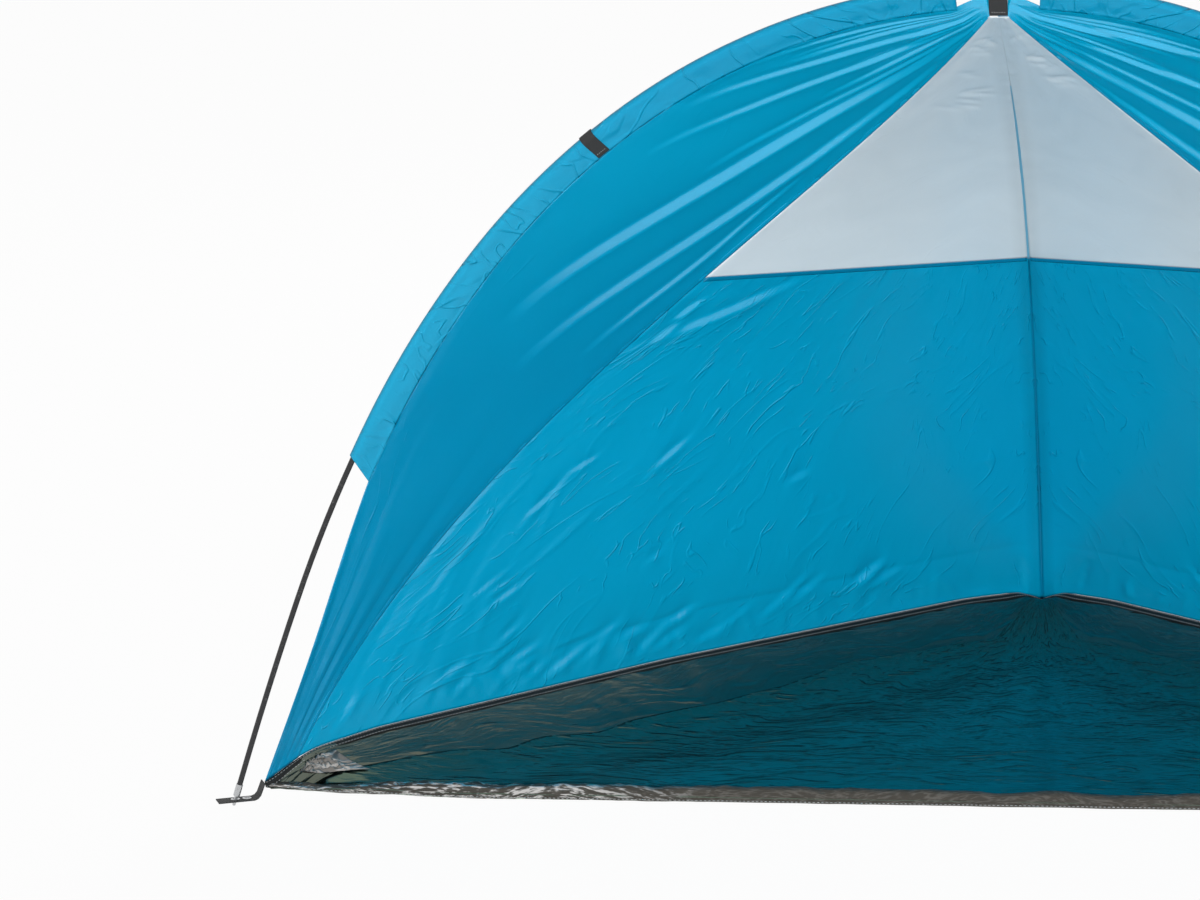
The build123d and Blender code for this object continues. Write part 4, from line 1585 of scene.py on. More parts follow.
@dataclass
class Groundsheet:
    """The floor with its raised sides and the hem along its front.

    The film is a tub: it lies on the ground and curves up to the seam along both walls. Floor
    and sides meet part of the way up, at an uneven join.
    """

    finishes: Finishes
    thickness: float = 0.0005
    merge: float = 1e-5
    floor_cells: Cells = (190, 104)
    floor_least: float = 0.4
    lift: float = 0.0014
    ground_gap: float = 0.0004
    crinkle_height: float = 0.0040
    crinkle_fade: Span = (0.07, 0.05)
    front_roll: float = 0.009
    front_roll_back: float = 0.012
    front_roll_width: float = 0.03
    front_roll_fade: float = 0.1
    tub_reach: float = 0.200
    tub_power: float = 2.4
    tub_fillet: float = 0.030
    tub_corner: Span = (0.6, 0.014)
    tub_front: float = 0.06
    seam_drop: float = 0.0008
    corner_run: float = 0.30
    corner_rise: float = 0.022
    corner_fade: float = 0.12
    join_share: float = 0.34
    join_wave: float = 0.30
    join_tuck: float = 0.004
    join_dip: float = 0.0014
    wall_cells: Cells = (240, 24)
    wall_height: float = 0.1
    wall_most: float = 0.6
    wall_curve: float = 1.4
    wall_swell: float = 0.0012
    swell_rise: float = 0.4
    gather_front: Triple = (1.0, 0.085, 0.05)
    gather_rear: Span = (1.2, 0.07)
    hem_cells: Cells = (600, 18)
    hem_height: float = 0.0215
    hem_wave: float = 0.003
    hem_sway: float = 0.0012
    hem_low: float = 0.0125
    hem_low_range: Span = (0.30, 0.02)
    hem_crumple_range: Span = (0.85, 0.35)
    hem_round: float = 0.8
    hem_creases: Span = (0.0008, 0.0010)
    hem_end: float = 0.006
    patch_cells: Cells = (60, 30)
    patch_size: Span = (0.11, 0.05)
    patch_marks: Path = ((0.056, 0.0050), (0.119, 0.0060), (0.158, 0.038))
    patch_lift: float = 0.0012
    patch_out: float = 0.0030
    patch_crumple: float = 0.0042

    def __post_init__(self) -> None:
        """Draws the noise of the crinkles."""
        self.noise, self.fine = SmoothNoise(131), SmoothNoise(137)

    def crinkle(self, x: Array, y: Array) -> Array:
        """Height of the crinkles of the film, from 0 to about 1, mostly across the mouth."""
        bend = 0.5 * self.noise.at(x * 2.3, y * 3)
        rows = self.noise.layered(x * 1.7 + bend, y * 9 + bend * 2, 3)
        sharp = 1 - np.abs(self.fine.layered(x * 2.6 + bend, y * 13 - bend, 2))
        return np.clip(0.45 + 0.3 * rows + 0.25 * (sharp - 0.6), 0, 1.2)

    def front_edge(self, x: Array) -> Array:
        """Y of the front edge of the floor at places across."""
        straight = SIZES.floor_straight * SIZES.span / 2
        share = np.clip((np.abs(x) - straight) / (LINES.half_width - straight), 0, 1)
        front = SIZES.front_y + SIZES.floor_back
        return front + (LINES.corner[1] - front) * share

    def corner_lift(self, x: Array) -> Array:
        """Height of the front edge, which hangs from the tabs at its ends."""
        end = np.clip((LINES.half_width - np.abs(x)) / self.corner_run, 0, 1)
        return self.corner_rise * (1 - end) ** 2

    def reach(self, run: Array) -> Array:
        """How far in from a wall the film starts to rise, at lengths from the corner."""
        slope, least = self.tub_corner
        return np.minimum(self.tub_reach, slope * np.maximum(run, 0) + least)

    def inset(self, run: Array, drop: float) -> Array:
        """How far in from a wall the film has dropped by a length."""
        share = np.clip(1 - drop / (LINES.wall_top(run) - self.lift), 0, 1)
        return self.reach(run) * (1 - share ** (1 / self.tub_power))

    def beside_wall(self, run: Array, off: Array, lift: float) -> Array:
        """Points over the film beside the left wall.

        Args:
            run: Lengths from the front corner.
            off: Distances in from the wall.
            lift: Height over the film.

        Returns:
            One point to a row.
        """
        way = LINES.wall_way
        x = LINES.corner[0] + run * way[0] + off * way[1]
        y = LINES.corner[1] + run * way[1] - off * way[0]
        return np.stack([x, y, self.height(x, y) + lift], axis=-1)

    def height(self, x: Array, y: Array) -> Array:
        """Height of the film, which rises to the seam along both walls."""
        corner, way = LINES.corner, LINES.wall_way
        wide = np.abs(x)
        along, back = -wide - corner[0], y - corner[1]
        run = along * way[0] + back * way[1]
        fillet = x * x / (4 * self.tub_fillet) + self.tub_fillet
        along = -np.where(wide < 2 * self.tub_fillet, fillet, wide) - corner[0]
        off = np.maximum(along * way[1] - back * way[0], 0)
        reach = self.reach(run)
        rise = np.clip(1 - off / reach, 0, 1) ** self.tub_power
        front = smooth_step(0.0, self.tub_front, y - self.front_edge(x))
        away = np.clip(off / (self.join_share * reach), 0, 1)
        rise = rise * (1 - (1 - front) * away)
        film = self.lift + (LINES.wall_top(run) - self.seam_drop - self.lift) * rise
        fade = smooth_step(self.corner_fade, 0.0, y - self.front_edge(x))
        return np.maximum(film, self.lift + self.corner_lift(x) * fade)

    def join(self, run: Array) -> Array:
        """Breadth across the mouth of a raised side, down to its uneven foot."""
        uneven = 1 + self.join_wave * self.noise.layered(run * 6, np.zeros_like(run) + 60, 2)
        return self.join_share * uneven * self.reach(run) / LINES.wall_way[1]

    def floor(self, u: Array, v: Array) -> Array:
        """Floor up to where the film rises, u from left to right and v from front to rear."""
        across = 2 * u - 1
        half = LINES.half_width * (1 - v)
        inner = np.maximum(half - self.join(v * LINES.wall_length), half * self.floor_least)
        x = across * inner
        front = self.front_edge(across * LINES.half_width)
        y = front + (LINES.rear_corner[1] - front) * v
        side = (1 - np.abs(across)) * inner * 0.7
        side_fade, front_fade = self.crinkle_fade
        room = smooth_step(0.0, side_fade, side) * smooth_step(0.0, front_fade, (y - front))
        z = self.height(x, y) + self.crinkle_height * self.crinkle(x, y) * room
        roll = np.exp(-(((y - front - self.front_roll_back) / self.front_roll_width) ** 2))
        z = z + self.front_roll * roll * smooth_step(0, self.front_roll_fade, side)
        return np.stack([x, y, z], axis=-1)

    def wall(self, u: Array, v: Array) -> Array:
        """Left raised side, u from the front corner to the rear and v up from the floor."""
        run = u * LINES.wall_length
        half = LINES.half_width * (1 - u)
        join = np.minimum(self.join(run), half * self.wall_most)
        join = join + np.minimum(self.join_tuck, half * 0.2)
        x = LINES.corner[0] + run * LINES.wall_way[0] + join * (1 - v) ** self.wall_curve
        y = LINES.corner[1] + run * LINES.wall_way[1]
        z = self.height(x, y) - self.join_dip * smooth_step(0.12, 0, v)
        z = np.maximum(z, self.ground_gap)
        room = smooth_step(0, 0.2, v) * smooth_step(0, 0.15, 1 - v)
        sharp = 1 - np.abs(self.fine.layered(run * 18, v * 4 + 11, 2))
        bulge = self.noise.layered(run * 11, v * 2 + 40, 3) + 0.6 * sharp
        strong, middle, wide = self.gather_front
        gather = 1 + strong * np.exp(-(((run - middle) / wide) ** 2))
        strong, wide = self.gather_rear
        gather = gather + strong * np.exp(-(((LINES.wall_length - run) / wide) ** 2))
        ends = smooth_step(0, 0.02, np.minimum(u, 1 - u))
        swell = self.wall_swell * gather * bulge * room * ends
        inside = LINES.wall_inside(self.swell_rise)
        return np.stack([x, y, z], axis=-1) + swell[:, None] * inside[None, :]

    def hem(self, u: Array, v: Array) -> Array:
        """Stiff fold along the front edge, u from left to right and v round its section."""
        x = (2 * u - 1) * (LINES.half_width - self.hem_end)
        end = LINES.half_width - np.abs(x)
        wave = self.noise.layered(x * 14, np.zeros_like(x) + 3.3, 2)
        crumple = smooth_step(*self.hem_crumple_range, end)
        high = self.hem_height + self.hem_wave * wave * (1 - 0.5 * crumple)
        high = high - self.hem_low * smooth_step(*self.hem_low_range, end)
        turn = 2 * math.pi * v
        width = SIZES.hem_width / 2
        side, up = np.cos(turn), np.sin(turn)
        y = self.front_edge(x) + width - width * np.sign(side) * np.abs(side) ** self.hem_round
        y = y + self.hem_sway * wave
        z = high / 2 * (1 + np.sign(up) * np.abs(up) ** self.hem_round)
        crease = self.fine.layered(x * 60, side * 2.5 + up * 1.5 + 9, 2)
        crease = crease + 1.5 * crumple * self.noise.layered(x * 38, side * 2 + up * 2 + 21, 2)
        out = (self.hem_creases[0] + self.hem_creases[1] * crumple) * crease
        y = y - out * side
        z = z + out * np.maximum(up, 0)
        z = np.maximum(z, self.ground_gap) + self.corner_lift(x)
        return np.stack([x, y, z], axis=-1)

    # The patch is a sheet laid over the crumpled corner to carry painted glints.
    def patch(self, u: Array, v: Array) -> Array:
        """Crumpled patch in the left front corner, u from the triangle's tip and v from the wall."""
        tip, top, end = (np.array(mark) for mark in self.patch_marks)
        far = top[None, :] * (1 - v)[:, None] + end[None, :] * v[:, None]
        flat = tip[None, :] * (1 - u)[:, None] + far * u[:, None]
        points = self.beside_wall(flat[:, 0], flat[:, 1], self.patch_lift)
        points += self.patch_out * LINES.wall_inside(self.swell_rise)
        rough = smooth_step(0.85, 0.6, u) * smooth_step(0, 0.15, u) * smooth_step(0, 0.1, 1 - v)
        crumple = 1 - np.abs(self.fine.layered(u * 11, v * u * 6 + 3, 3))
        crumple = crumple + 0.6 * self.noise.layered(u * 19 + 4, v * u * 11, 2)
        points[:, 2] += self.patch_crumple * np.clip(crumple, 0, 1.5) * rough
        return points

    def build_side(self, side: Side) -> None:
        """Builds a raised side and its corner patch.

        Args:
            side: Half of the shelter.
        """
        length, node = LINES.wall_length, f"floor_wall_{side.value}"
        bm = grid_sheet(self.wall_cells, self.wall, True, side.mirrored, (length, self.wall_height))
        area = area_of(bm)
        film = self.finishes.painted_sheen_wall_sheet
        wall = finish_piece(bm, f"{node}_film", film, Slot.GROUNDSHEET, [node], self.thickness)
        # Painted reflection: the corner patch carries glints of light on the gathered film.
        bm = grid_sheet(self.patch_cells, self.patch, True, side.mirrored, self.patch_size)
        bmesh.ops.remove_doubles(bm, verts=bm.verts, dist=self.merge)
        name, painted_glint = f"corner_painted_glint_patch_{side.value}", self.finishes.painted_glint
        finish_piece(bm, name, painted_glint, Slot.GROUNDSHEET, (), self.thickness)

    def build(self) -> None:
        """Builds the floor, its sides and the hem."""
        depth = float(LINES.rear_corner[1] - LINES.corner[1])
        wide = float(-2 * LINES.corner[0])
        bm = grid_sheet(self.floor_cells, self.floor, False, False, (wide, depth))
        bmesh.ops.remove_doubles(bm, verts=bm.verts, dist=self.merge)
        area = area_of(bm)
        floor = finish_piece(
            bm, "floor_film", self.finishes.sheet, Slot.GROUNDSHEET, ["floor_sheet"], self.thickness
        )
        for side in Side:
            self.build_side(side)
        edge = SIZES.floor_straight * SIZES.span
        bm = grid_sheet(self.hem_cells, self.hem, False, False, (edge, SIZES.hem_width * 3))
        bmesh.ops.remove_doubles(bm, verts=bm.verts, dist=self.merge / 10)
        bmesh.ops.recalc_face_normals(bm, faces=bm.faces)
        finish_piece(
            bm, "floor_front_hem_film", self.finishes.hem, Slot.GROUNDSHEET, ["floor_front_hem"]
        )


@dataclass(frozen=True)
class Stitch:
    """Length from stitch to stitch and thickness of the thread."""

    pitch: float
    thick: float


@dataclass(frozen=True)
class SeamWork:
    """Tapes, bindings and rows of stitches along the seams.

    Binding rows are the drop below the wall's seam and the lift over the film of the binding's
    edges and of the rows of stitches on it. A form is how far the middle of a tape stands out
    and its thickness. Other edges and rows are distances from a seam.
    """

    finishes: Finishes
    film: Groundsheet
    samples: int = 240
    stitch_faces: Cells = (5, 3)
    stitch_share: float = 0.43
    stitch_flat: float = 2.4
    tape_cells: Cells = (160, 4)
    binding_edges: Path = ((0.0004, 0.0006), (0.0085, 0.0006))
    binding_rows: Path = ((0.0020, 0.0010), (0.0064, 0.0010))
    binding_form: Span = (0.0016, 0.0006)
    binding_rise: float = 0.6
    binding_out: float = 0.0017
    binding_stitch: Stitch = Stitch(0.0054, 0.0014)
    ridge_range: Span = (0.012, 0.985)
    ridge_edges: Span = (0.0006, 0.0105)
    ridge_rows: Span = (0.0016, 0.0094)
    ridge_form: Span = (0.0003, 0.0002)
    ridge_stitch: Stitch = Stitch(0.0042, 0.0005)
    seam_in: float = 0.0009
    colour_range: Span = (0.004, 0.992)
    colour_edges: Span = (-0.0012, 0.0048)
    colour_form: Span = (0.0004, 0.0004)
    rear_upper_from: float = 0.35
    rear_upper_half: float = 0.0024
    rear_lower_to: float = 0.997
    rear_lower_half: float = 0.0030
    rear_in: float = 0.0010
    rear_form: Span = (0.0002, 0.0003)
    rear_inward: Triple = (0.0, -0.6, -0.8)
    hem_samples: int = 400
    hem_end: float = 0.03
    hem_row_height: float = 0.0048
    hem_out: float = 0.0012
    hem_stitch: Stitch = Stitch(0.0062, 0.0018)

    def stitches(
        self, name: str, line: Seam, normal: Array, stitch: Stitch, material: Material, slot: Slot
    ) -> None:
        """Sews a row of stitches along a line.

        Args:
            name: Name of the piece.
            line: Line of the row.
            normal: Rough way out of the cloth.
            stitch: Length and thickness of a stitch.
            material: Finish of the thread.
            slot: Slot of the record.
        """
        count = max(2, int(line.length / stitch.pitch))
        shares = (np.arange(count) + 0.5) / count
        half = stitch.thick / 2
        low = stitch.thick / self.stitch_flat
        size = Matrix.Diagonal((stitch.pitch * self.stitch_share, half, low, 1.0))
        single = bmesh.new()
        around, along = self.stitch_faces
        bmesh.ops.create_uvsphere(single, u_segments=around, v_segments=along, radius=1.0, matrix=size)
        pattern = bpy.data.meshes.new(name)
        single.to_mesh(pattern)
        single.free()
        bm = bmesh.new()
        for place, way in zip(line.at(shares), line.way(shares)):
            along = Vector(way)
            side = Vector(normal).cross(along).normalized()
            axes = Matrix((along, side, along.cross(side))).transposed().to_4x4()
            copy = pattern.copy()
            copy.transform(Matrix.Translation(Vector(place)) @ axes)
            bm.from_mesh(copy)
            bpy.data.meshes.remove(copy)
        bpy.data.meshes.remove(pattern)
        bm.loops.layers.uv.verify()
        finish_piece(bm, name, material, slot)

    def tape(
        self,
        name: str,
        edges: tuple[Array, Array],
        form: Span,
        material: Material,
        slot: Slot,
        mirrored: bool,
        inward: Array,
    ) -> None:
        """Sews a flat strip between two lines of points.

        Args:
            name: Name of the piece.
            edges: Points of its two edges.
            form: How far its middle stands out, and its thickness.
            material: Finish of the strip.
            slot: Slot of the record.
            mirrored: Whether it is mirrored to the right.
            inward: Way in which it stands out.
        """
        out, thickness = form
        first, second = Seam(edges[0]), Seam(edges[1])

        def place(u: Array, v: Array) -> Array:
            """Points of the strip, u along it and v across."""
            flat = first.at(u) * (1 - v)[:, None] + second.at(u) * v[:, None]
            return flat + inward[None, :] * (out * np.sin(math.pi * v) ** 0.5)[:, None]

        width = float(np.linalg.norm(edges[0][0] - edges[1][0]))
        bm = grid_sheet(self.tape_cells, place, True, mirrored, (first.length, width))
        finish_piece(bm, name, material, slot, (), thickness)

    def bind_wall(self, side: Side) -> None:
        """Sews the binding along the top of a raised side.

        Args:
            side: Half of the shelter.
        """
        run = np.linspace(0.0, 1.0, self.samples) * LINES.wall_length
        inside = LINES.wall_inside(self.binding_rise)
        edges, rows = (
            [self.film.beside_wall(run, self.film.inset(run, drop), lift) for drop, lift in pairs]
            for pairs in (self.binding_edges, self.binding_rows)
        )
        self.tape(
            f"wall_binding_{side.value}", tuple(edges), self.binding_form, self.finishes.binding,
            Slot.GROUNDSHEET, side.mirrored, inside,
        )
        for label, row in zip(("first", "second"), rows):
            line = Seam((row + inside * self.binding_out) * side.flip)
            self.stitches(
                f"wall_stitches_{label}_{side.value}", line, inside * side.flip, self.binding_stitch,
                self.finishes.pale_thread, Slot.GROUNDSHEET,
            )

    def build(self, side: Side) -> None:
        """Sews the seams of one half.

        Args:
            side: Half of the shelter.
        """
        self.bind_wall(side)
        inward = LINES.INWARD
        share = np.linspace(*self.ridge_range, self.samples)
        ridge = LINES.ridge.at(share)
        toward = LINES.arch.at(share) - ridge
        toward /= np.linalg.norm(toward, axis=1, keepdims=True)
        edges = tuple(ridge + toward * off for off in self.ridge_edges)
        self.tape(
            f"ridge_tape_{side.value}", edges, self.ridge_form, self.finishes.tape, Slot.BLUE,
            side.mirrored, inward,
        )
        for label, off in zip(("first", "second"), self.ridge_rows):
            line = Seam((ridge + toward * off + inward[None, :] * self.seam_in) * side.flip)
            self.stitches(
                f"ridge_stitches_{label}_{side.value}", line, inward * side.flip, self.ridge_stitch,
                self.finishes.blue_thread, Slot.BLUE,
            )
        across = np.linspace(*self.colour_range, self.samples)
        level = np.full_like(across, LINES.colour_share)
        edges = tuple(
            LINES.back(level + off, across) + inward[None, :] * self.seam_in
            for off in self.colour_edges
        )
        # The tape along the change of colour is a real seam, painted darker as painted shade.
        self.tape(
            f"colour_tape_{side.value}", edges, self.colour_form, self.finishes.painted_shade_blue, Slot.BLUE,
            side.mirrored, inward,
        )

    def build_rear(self) -> None:
        """Sews the tapes between the two halves of the back, above and below the colours' line."""
        edge = LINES.colour_share
        soft, deep = self.finishes.painted_through_blue, self.finishes.painted_shade_blue
        # The upper rear tape is painted with the blue light that shows through the grey from the sleeve
        # behind; the lower one is painted darker for the shadow of the rear pole and its sleeve.
        for name, first, last, half, material in (
            ("upper", edge * self.rear_upper_from, edge, self.rear_upper_half, soft),
            ("lower", edge, self.rear_lower_to, self.rear_lower_half, deep),
        ):
            share = np.linspace(first, last, self.samples)
            line = LINES.back(share, np.ones_like(share))
            way = Seam(line).way(np.linspace(0, 1, self.samples))
            inward = np.stack([np.zeros_like(share), way[:, 2], -way[:, 1]], axis=-1)
            line = line + inward * self.rear_in
            grow = smooth_step(first - 0.1, first + 0.75 * (last - first), share)
            side = (half * grow)[:, None] * np.array(X_WAY)[None, :]
            self.tape(
                f"rear_seam_tape_{name}", (line - side, line + side), self.rear_form, material,
                Slot.BLUE, False, np.array(self.rear_inward),
            )

    def build_front(self) -> None:
        """Sews the row of stitches along the front hem."""
        x = np.linspace(-1, 1, self.hem_samples) * (LINES.half_width - self.hem_end)
        y = self.film.front_edge(x) - self.hem_out
        z = self.film.corner_lift(x) + self.hem_row_height
        self.stitches(
            "hem_stitches", Seam(np.stack([x, y, z], axis=-1)), -np.array(Y_WAY), self.hem_stitch,
            self.finishes.pale_thread, Slot.GROUNDSHEET,
        )


@dataclass(frozen=True)
class Straps:
    """Webbing loops on the poles and tabs at the feet."""

    finishes: Finishes
    seams: SeamWork
    cells: Cells = (12, 40)
    row_range: Span = (0.1, 0.9)
    row_samples: int = 12
    row_off: Triple = (0.0, -0.0011, -0.0003)
    row_stitch: Stitch = Stitch(0.0030, 0.0012)
    sleeve_ease: float = 0.0013
    sleeve_short: float = 0.002
    sleeve_gap: float = 0.0018
    sleeve_row: float = 0.93
    apex_radius: float = 0.0060
    apex_short: float = 0.003
    apex_gap: float = 0.0009
    apex_row: float = 0.95
    tab_cell: float = 0.001
    tab_cells: int = 25
    tab_knee: Path = ((-0.007, 0.0062), (-0.003, 0.0018), (0.002, 0.0))
    tab_short: float = 0.002
    hole_radius: float = 0.0053

    def row(self, name: str, place: Surface, share: float, mirrored: bool) -> None:
        """Row of stitches across the front of a strap.

        Args:
            name: Name of the strap's node.
            place: Points of the strap.
            share: Share of the way round the strap.
            mirrored: Whether it is mirrored to the right.
        """
        across = np.linspace(*self.row_range, self.row_samples)
        points = place(across, np.full_like(across, share)) + np.array(self.row_off)
        if mirrored:
            points[:, 0] *= -1
        self.seams.stitches(
            f"{name}_stitches", Seam(points), -np.array(Y_WAY), self.row_stitch,
            self.finishes.pale_thread, Slot.WEBBING,
        )

    def loop(
        self, name: str, section: LoopSection, place: Surface, width: float, mirrored: bool
    ) -> None:
        """Builds a loop of webbing that replaces the node of its name.

        Args:
            name: Name of the node.
            section: Section of the loop.
            place: Gives points for shares of the width and of the way round.
            width: Width of the webbing.
            mirrored: Whether it is mirrored to the right.
        """
        bm = grid_sheet(self.cells, place, False, mirrored, (width, section.length))
        finish_piece(bm, f"{name}_webbing", self.finishes.webbing, Slot.WEBBING, [name], SIZES.webbing)

    def sleeve_strap(self, side: Side) -> None:
        """Builds the strap round a front sleeve.

        Args:
            side: Half of the shelter.
        """
        section = LoopSection(
            SIZES.sleeve_radius + self.sleeve_ease, SIZES.sleeve_width - self.sleeve_short,
            self.sleeve_gap,
        )
        middle = LINES.front.length / 2 - SIZES.sleeve_strap_from_crown

        def place(u: Array, v: Array) -> Array:
            """Points of the strap, u across it and v round the sleeve."""
            run = middle + (u - 0.5) * SIZES.sleeve_strap_width
            return LINES.front.leaning(run, *section.at(v), SIZES.sleeve_lean)

        name = f"sleeve_strap_{side.value}"
        self.loop(name, section, place, SIZES.sleeve_strap_width, side.mirrored)
        self.row(name, place, self.sleeve_row, side.mirrored)

    def apex_strap(self) -> None:
        """Builds the strap round the crown that holds the tops of the panels."""
        reach = Vector(LINES.apex) - LINES.crown
        section = LoopSection(self.apex_radius, reach.length - self.apex_short, self.apex_gap)
        down = np.array(reach.normalized())
        across_way = np.cross(np.array(X_WAY), down)

        def place(u: Array, v: Array) -> Array:
            """Points of the strap, u across it and v round the pole."""
            inward, across = section.at(v)
            points = np.array(LINES.crown)[None, :] + inward[:, None] * down[None, :]
            points = points + across[:, None] * across_way[None, :]
            points[:, 0] += (u - 0.5) * SIZES.apex_strap_width
            return points

        self.loop("apex_strap", section, place, SIZES.apex_strap_width, False)
        self.row("apex_strap", place, self.apex_row, False)

    def tab(self, name: str, origin: Array, way: Array, corner: float, top: float) -> None:
        """Tab from a corner of the floor out to a tip, with room for its eyelets.

        Args:
            name: Name of the node.
            origin: Point under the tip.
            way: Way out from the floor.
            corner: Distance from the tip to the corner of the floor.
            top: Height of its upper end.
        """
        level = SIZES.tab_height + SIZES.webbing / 2
        knee = [(off - SIZES.tab_bend, level + up) for off, up in self.tab_knee]
        marks = np.array([(-corner, top + SIZES.webbing / 2), *knee, (SIZES.tab_end, level)])
        line = Seam(marks[:, [0, 0, 1]] * np.array([1.0, 0.0, 1.0]))
        side = np.array([-way[1], way[0], 0.0])

        def place(u: Array, v: Array) -> Array:
            """Points of the tab, u out from the floor and v across it."""
            flat = line.at(u)
            points = origin[None, :] + flat[:, :1] * way[None, :]
            points = points + ((v - 0.5) * SIZES.tab_width)[:, None] * side[None, :]
            points[:, 2] = flat[:, 2]
            return points

        cells = (int(line.length / self.tab_cell), self.tab_cells)
        bm = grid_sheet(cells, place, True, False, (line.length, SIZES.tab_width))
        bmesh.ops.recalc_face_normals(bm, faces=bm.faces)
        for hole in (origin[:2] - way[:2] * at for at in (0.0, SIZES.peg_hole)):
            centres = [(face, np.array(face.calc_center_median()[:2])) for face in bm.faces]
            cut = [face for face, at in centres if np.linalg.norm(at - hole) < self.hole_radius]
            bmesh.ops.delete(bm, geom=cut, context="FACES")
        finish_piece(bm, f"{name}_webbing", self.finishes.webbing, Slot.WEBBING, [name], SIZES.webbing)

    def build(self) -> None:
        """Builds every strap and tab."""
        self.apex_strap()
        for side in Side:
            self.sleeve_strap(side)
        rise = SIZES.tab_height + SIZES.webbing / 2 - SIZES.foot_height
        lean = rise / math.tan(LINES.front.foot_angle)
        left = np.array([lean - SIZES.span / 2, SIZES.front_y, 0.0])
        way = left - LINES.corner
        way[2] = 0
        reach = float(np.linalg.norm(way))
        way /= reach
        top = float(LINES.corner[2])
        for side in Side:
            name = f"foot_tab_{side.value}"
            self.tab(name, left * side.flip, way * side.flip, reach - self.tab_short, top)
        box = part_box("foot_eyelets_rear")
        holes = (Vector(box[0]) + Vector(box[1])) / 2
        rear = np.array([0.0, holes.y + SIZES.peg_hole / 2, 0.0])
        reach = float(rear[1] - LINES.rear_corner[1])
        self.tab("foot_tab_rear", rear, np.array(Y_WAY), reach - self.tab_short, SIZES.rear_tab_top)


@dataclass(frozen=True)
class Frame:
    """Poles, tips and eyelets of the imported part, with their finishes."""

    finishes: Finishes
    steel_words: tuple[str, ...] = ("ferrule", "tip", "cap", "eyelets")

    def dress(self) -> None:
        """Gives each hard node its finish."""
        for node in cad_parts:
            if "pole_section" in node:
                material = self.finishes.pole
            elif any(word in node for word in self.steel_words):
                material = self.finishes.steel
            else:
                continue
            piece = bpy.data.objects[node]
            for slot in piece.material_slots:
                slot.material = material
            log.info("%s dressed", node)


@dataclass(frozen=True)
class Lamp:
    """A soft lamp: its place, what it points at, its breadth and height, and its watts."""

    name: str
    place: Triple
    target: Triple
    size: Span
    power: float


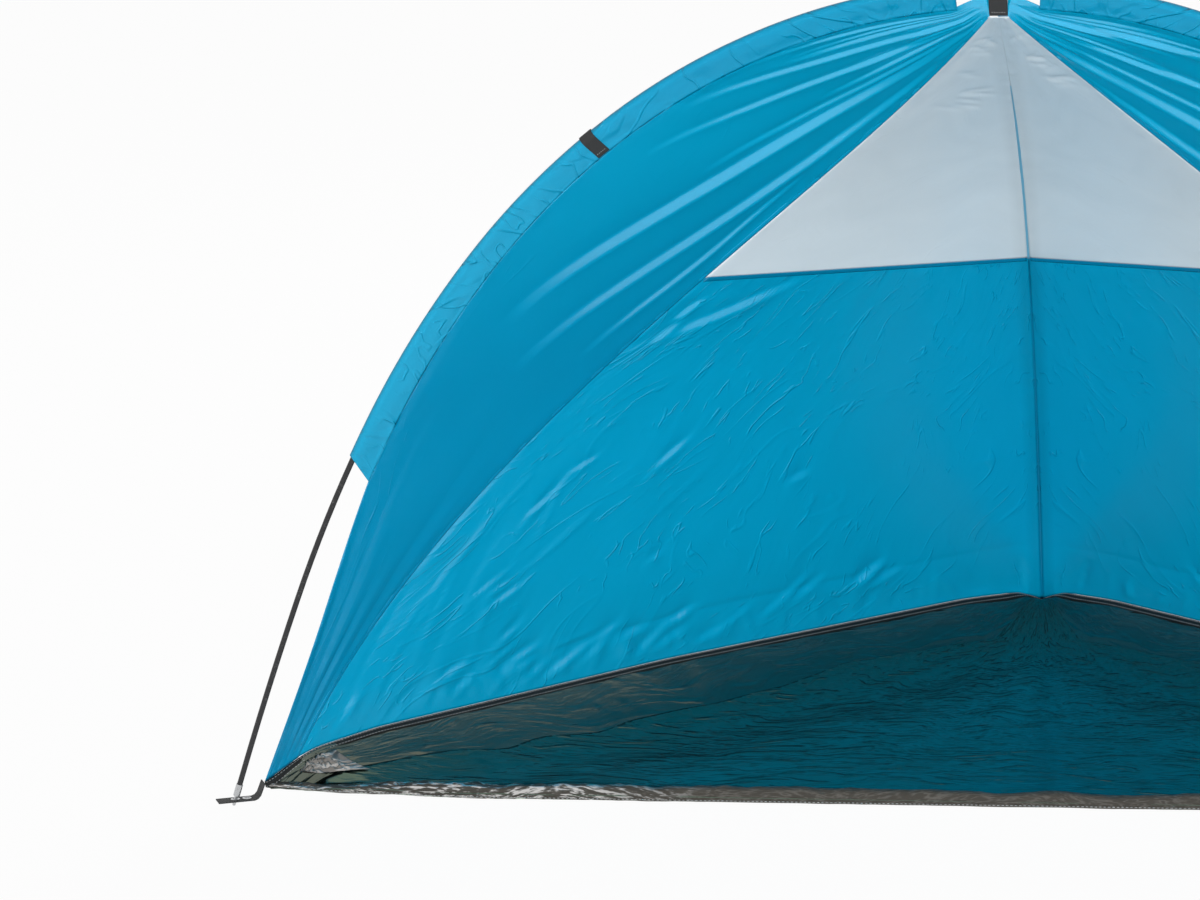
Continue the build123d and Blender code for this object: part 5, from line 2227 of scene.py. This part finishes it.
@dataclass(frozen=True)
class Studio:
    """Pale floor, soft light and the camera."""

    eye: Triple = (0.3475, -6.6076, 1.6887)
    yaw: float = math.radians(8.587)
    pitch: float = math.radians(10.898)
    roll: float = math.radians(-1.369)
    lens: float = 132.74
    sensor: float = 36.0
    clip_end: float = 200.0
    white: Colour = (1.0, 1.0, 1.0)
    floor_size: float = 40.0
    floor_cells: int = 8
    floor_colour: Colour = (0.86, 0.86, 0.86)
    floor_roughness: float = 0.9
    floor_white: float = 0.965
    surround: float = 0.20
    lamps: tuple[Lamp, ...] = (
        Lamp("front", (0.6, -9.0, 0.80), (0.0, 0.0, 0.55), (5.0, 1.4), 760.0),
        Lamp("back", (2.4, 5.0, 3.2), (0.0, 0.0, 0.5), (3.0, 3.0), 260.0),
    )

    def white_for_view(self, book: NodeBook) -> Socket:
        """Mask of the rays that see the floor and surround as white.

        Args:
            book: Book on the tree that gets the mask.

        Returns:
            1 for rays from the camera, reflections and glass, or else 0.
        """
        ray = book.add("ShaderNodeLightPath")
        total = book.math("ADD", ray.outputs["Is Camera Ray"], ray.outputs["Is Glossy Ray"])
        total = book.math("ADD", total, ray.outputs["Is Transmission Ray"])
        return book.math("MINIMUM", total, 1.0)

    def ground(self) -> None:
        """Pale floor that keeps the shadow."""
        bm = bmesh.new()
        cells, half = self.floor_cells, self.floor_size / 2
        bmesh.ops.create_grid(bm, x_segments=cells, y_segments=cells, size=half)
        mesh = bpy.data.meshes.new("studio_floor")
        bm.to_mesh(mesh)
        bm.free()
        ground = bpy.data.objects.new("studio_floor", mesh)
        bpy.context.scene.collection.objects.link(ground)
        material, book, shader = new_material("pale floor")
        looks = {"Base Color": rgba(self.floor_colour), "Roughness": self.floor_roughness}
        book.feed(shader, looks)
        glow = book.add("ShaderNodeEmission", {"Color": rgba(self.white), "Strength": 1.0})
        share = book.math("MULTIPLY", self.white_for_view(book), self.floor_white)
        mix = book.add("ShaderNodeMixShader", {0: share, 1: shader.outputs[0], 2: glow.outputs[0]})
        book.feed(book.tree.nodes["Material Output"], {"Surface": mix.outputs[0]})
        mesh.materials.append(material)

    def light(self) -> None:
        """Soft light from the front and an even surround."""
        world = bpy.data.worlds.new("studio")
        bpy.context.scene.world = world
        world.use_nodes = True
        book = NodeBook(world.node_tree)
        back = world.node_tree.nodes["Background"]
        strength = book.spread(self.white_for_view(book), 0.0, 1.0, self.surround, 1.0)
        book.feed(back, {"Strength": strength, "Color": rgba(self.white)})
        for lamp in self.lamps:
            data = bpy.data.lights.new(lamp.name, "AREA")
            data.shape = "RECTANGLE"
            data.size, data.size_y = lamp.size
            data.energy = lamp.power
            light = bpy.data.objects.new(lamp.name, data)
            bpy.context.scene.collection.objects.link(light)
            light.visible_glossy = False
            light.location = lamp.place
            way = Vector(lamp.target) - Vector(lamp.place)
            light.rotation_euler = way.to_track_quat("-Z", "Y").to_euler()

    def camera(self) -> None:
        """Camera at the photograph's angle."""
        data = bpy.data.cameras.new("camera")
        data.sensor_fit = "HORIZONTAL"
        data.sensor_width = self.sensor
        data.lens = self.lens
        data.clip_end = self.clip_end
        camera = bpy.data.objects.new("camera", data)
        bpy.context.scene.collection.objects.link(camera)
        forward = Vector(
            (
                -math.sin(self.yaw) * math.cos(self.pitch),
                math.cos(self.yaw) * math.cos(self.pitch),
                -math.sin(self.pitch),
            )
        )
        level = forward.cross(Z_WAY).normalized()
        up = level.cross(forward)
        right = level * math.cos(self.roll) + up * math.sin(self.roll)
        up = right.cross(forward)
        axes = Matrix((right, up, -forward)).transposed().to_4x4()
        camera.matrix_world = Matrix.Translation(Vector(self.eye)) @ axes
        bpy.context.scene.camera = camera

    def build(self) -> None:
        """Sets the stage."""
        bpy.context.scene.view_settings.view_transform = "Standard"
        self.ground()
        self.light()
        self.camera()


def main() -> None:
    """Builds the shelter and its studio in order."""
    logging.basicConfig(level=logging.INFO, format="%(message)s")
    Studio().build()
    finishes = Finishes()
    Frame(finishes).dress()
    film = Groundsheet(finishes)
    canopy, seams = Canopy(finishes), SeamWork(finishes, film)
    for side in Side:
        canopy.build(side)
        seams.build(side)
    seams.build_rear()
    seams.build_front()
    Sleeves(finishes).build()
    film.build()
    Straps(finishes, seams).build()
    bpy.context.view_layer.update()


if __name__ == "__main__":
    main()
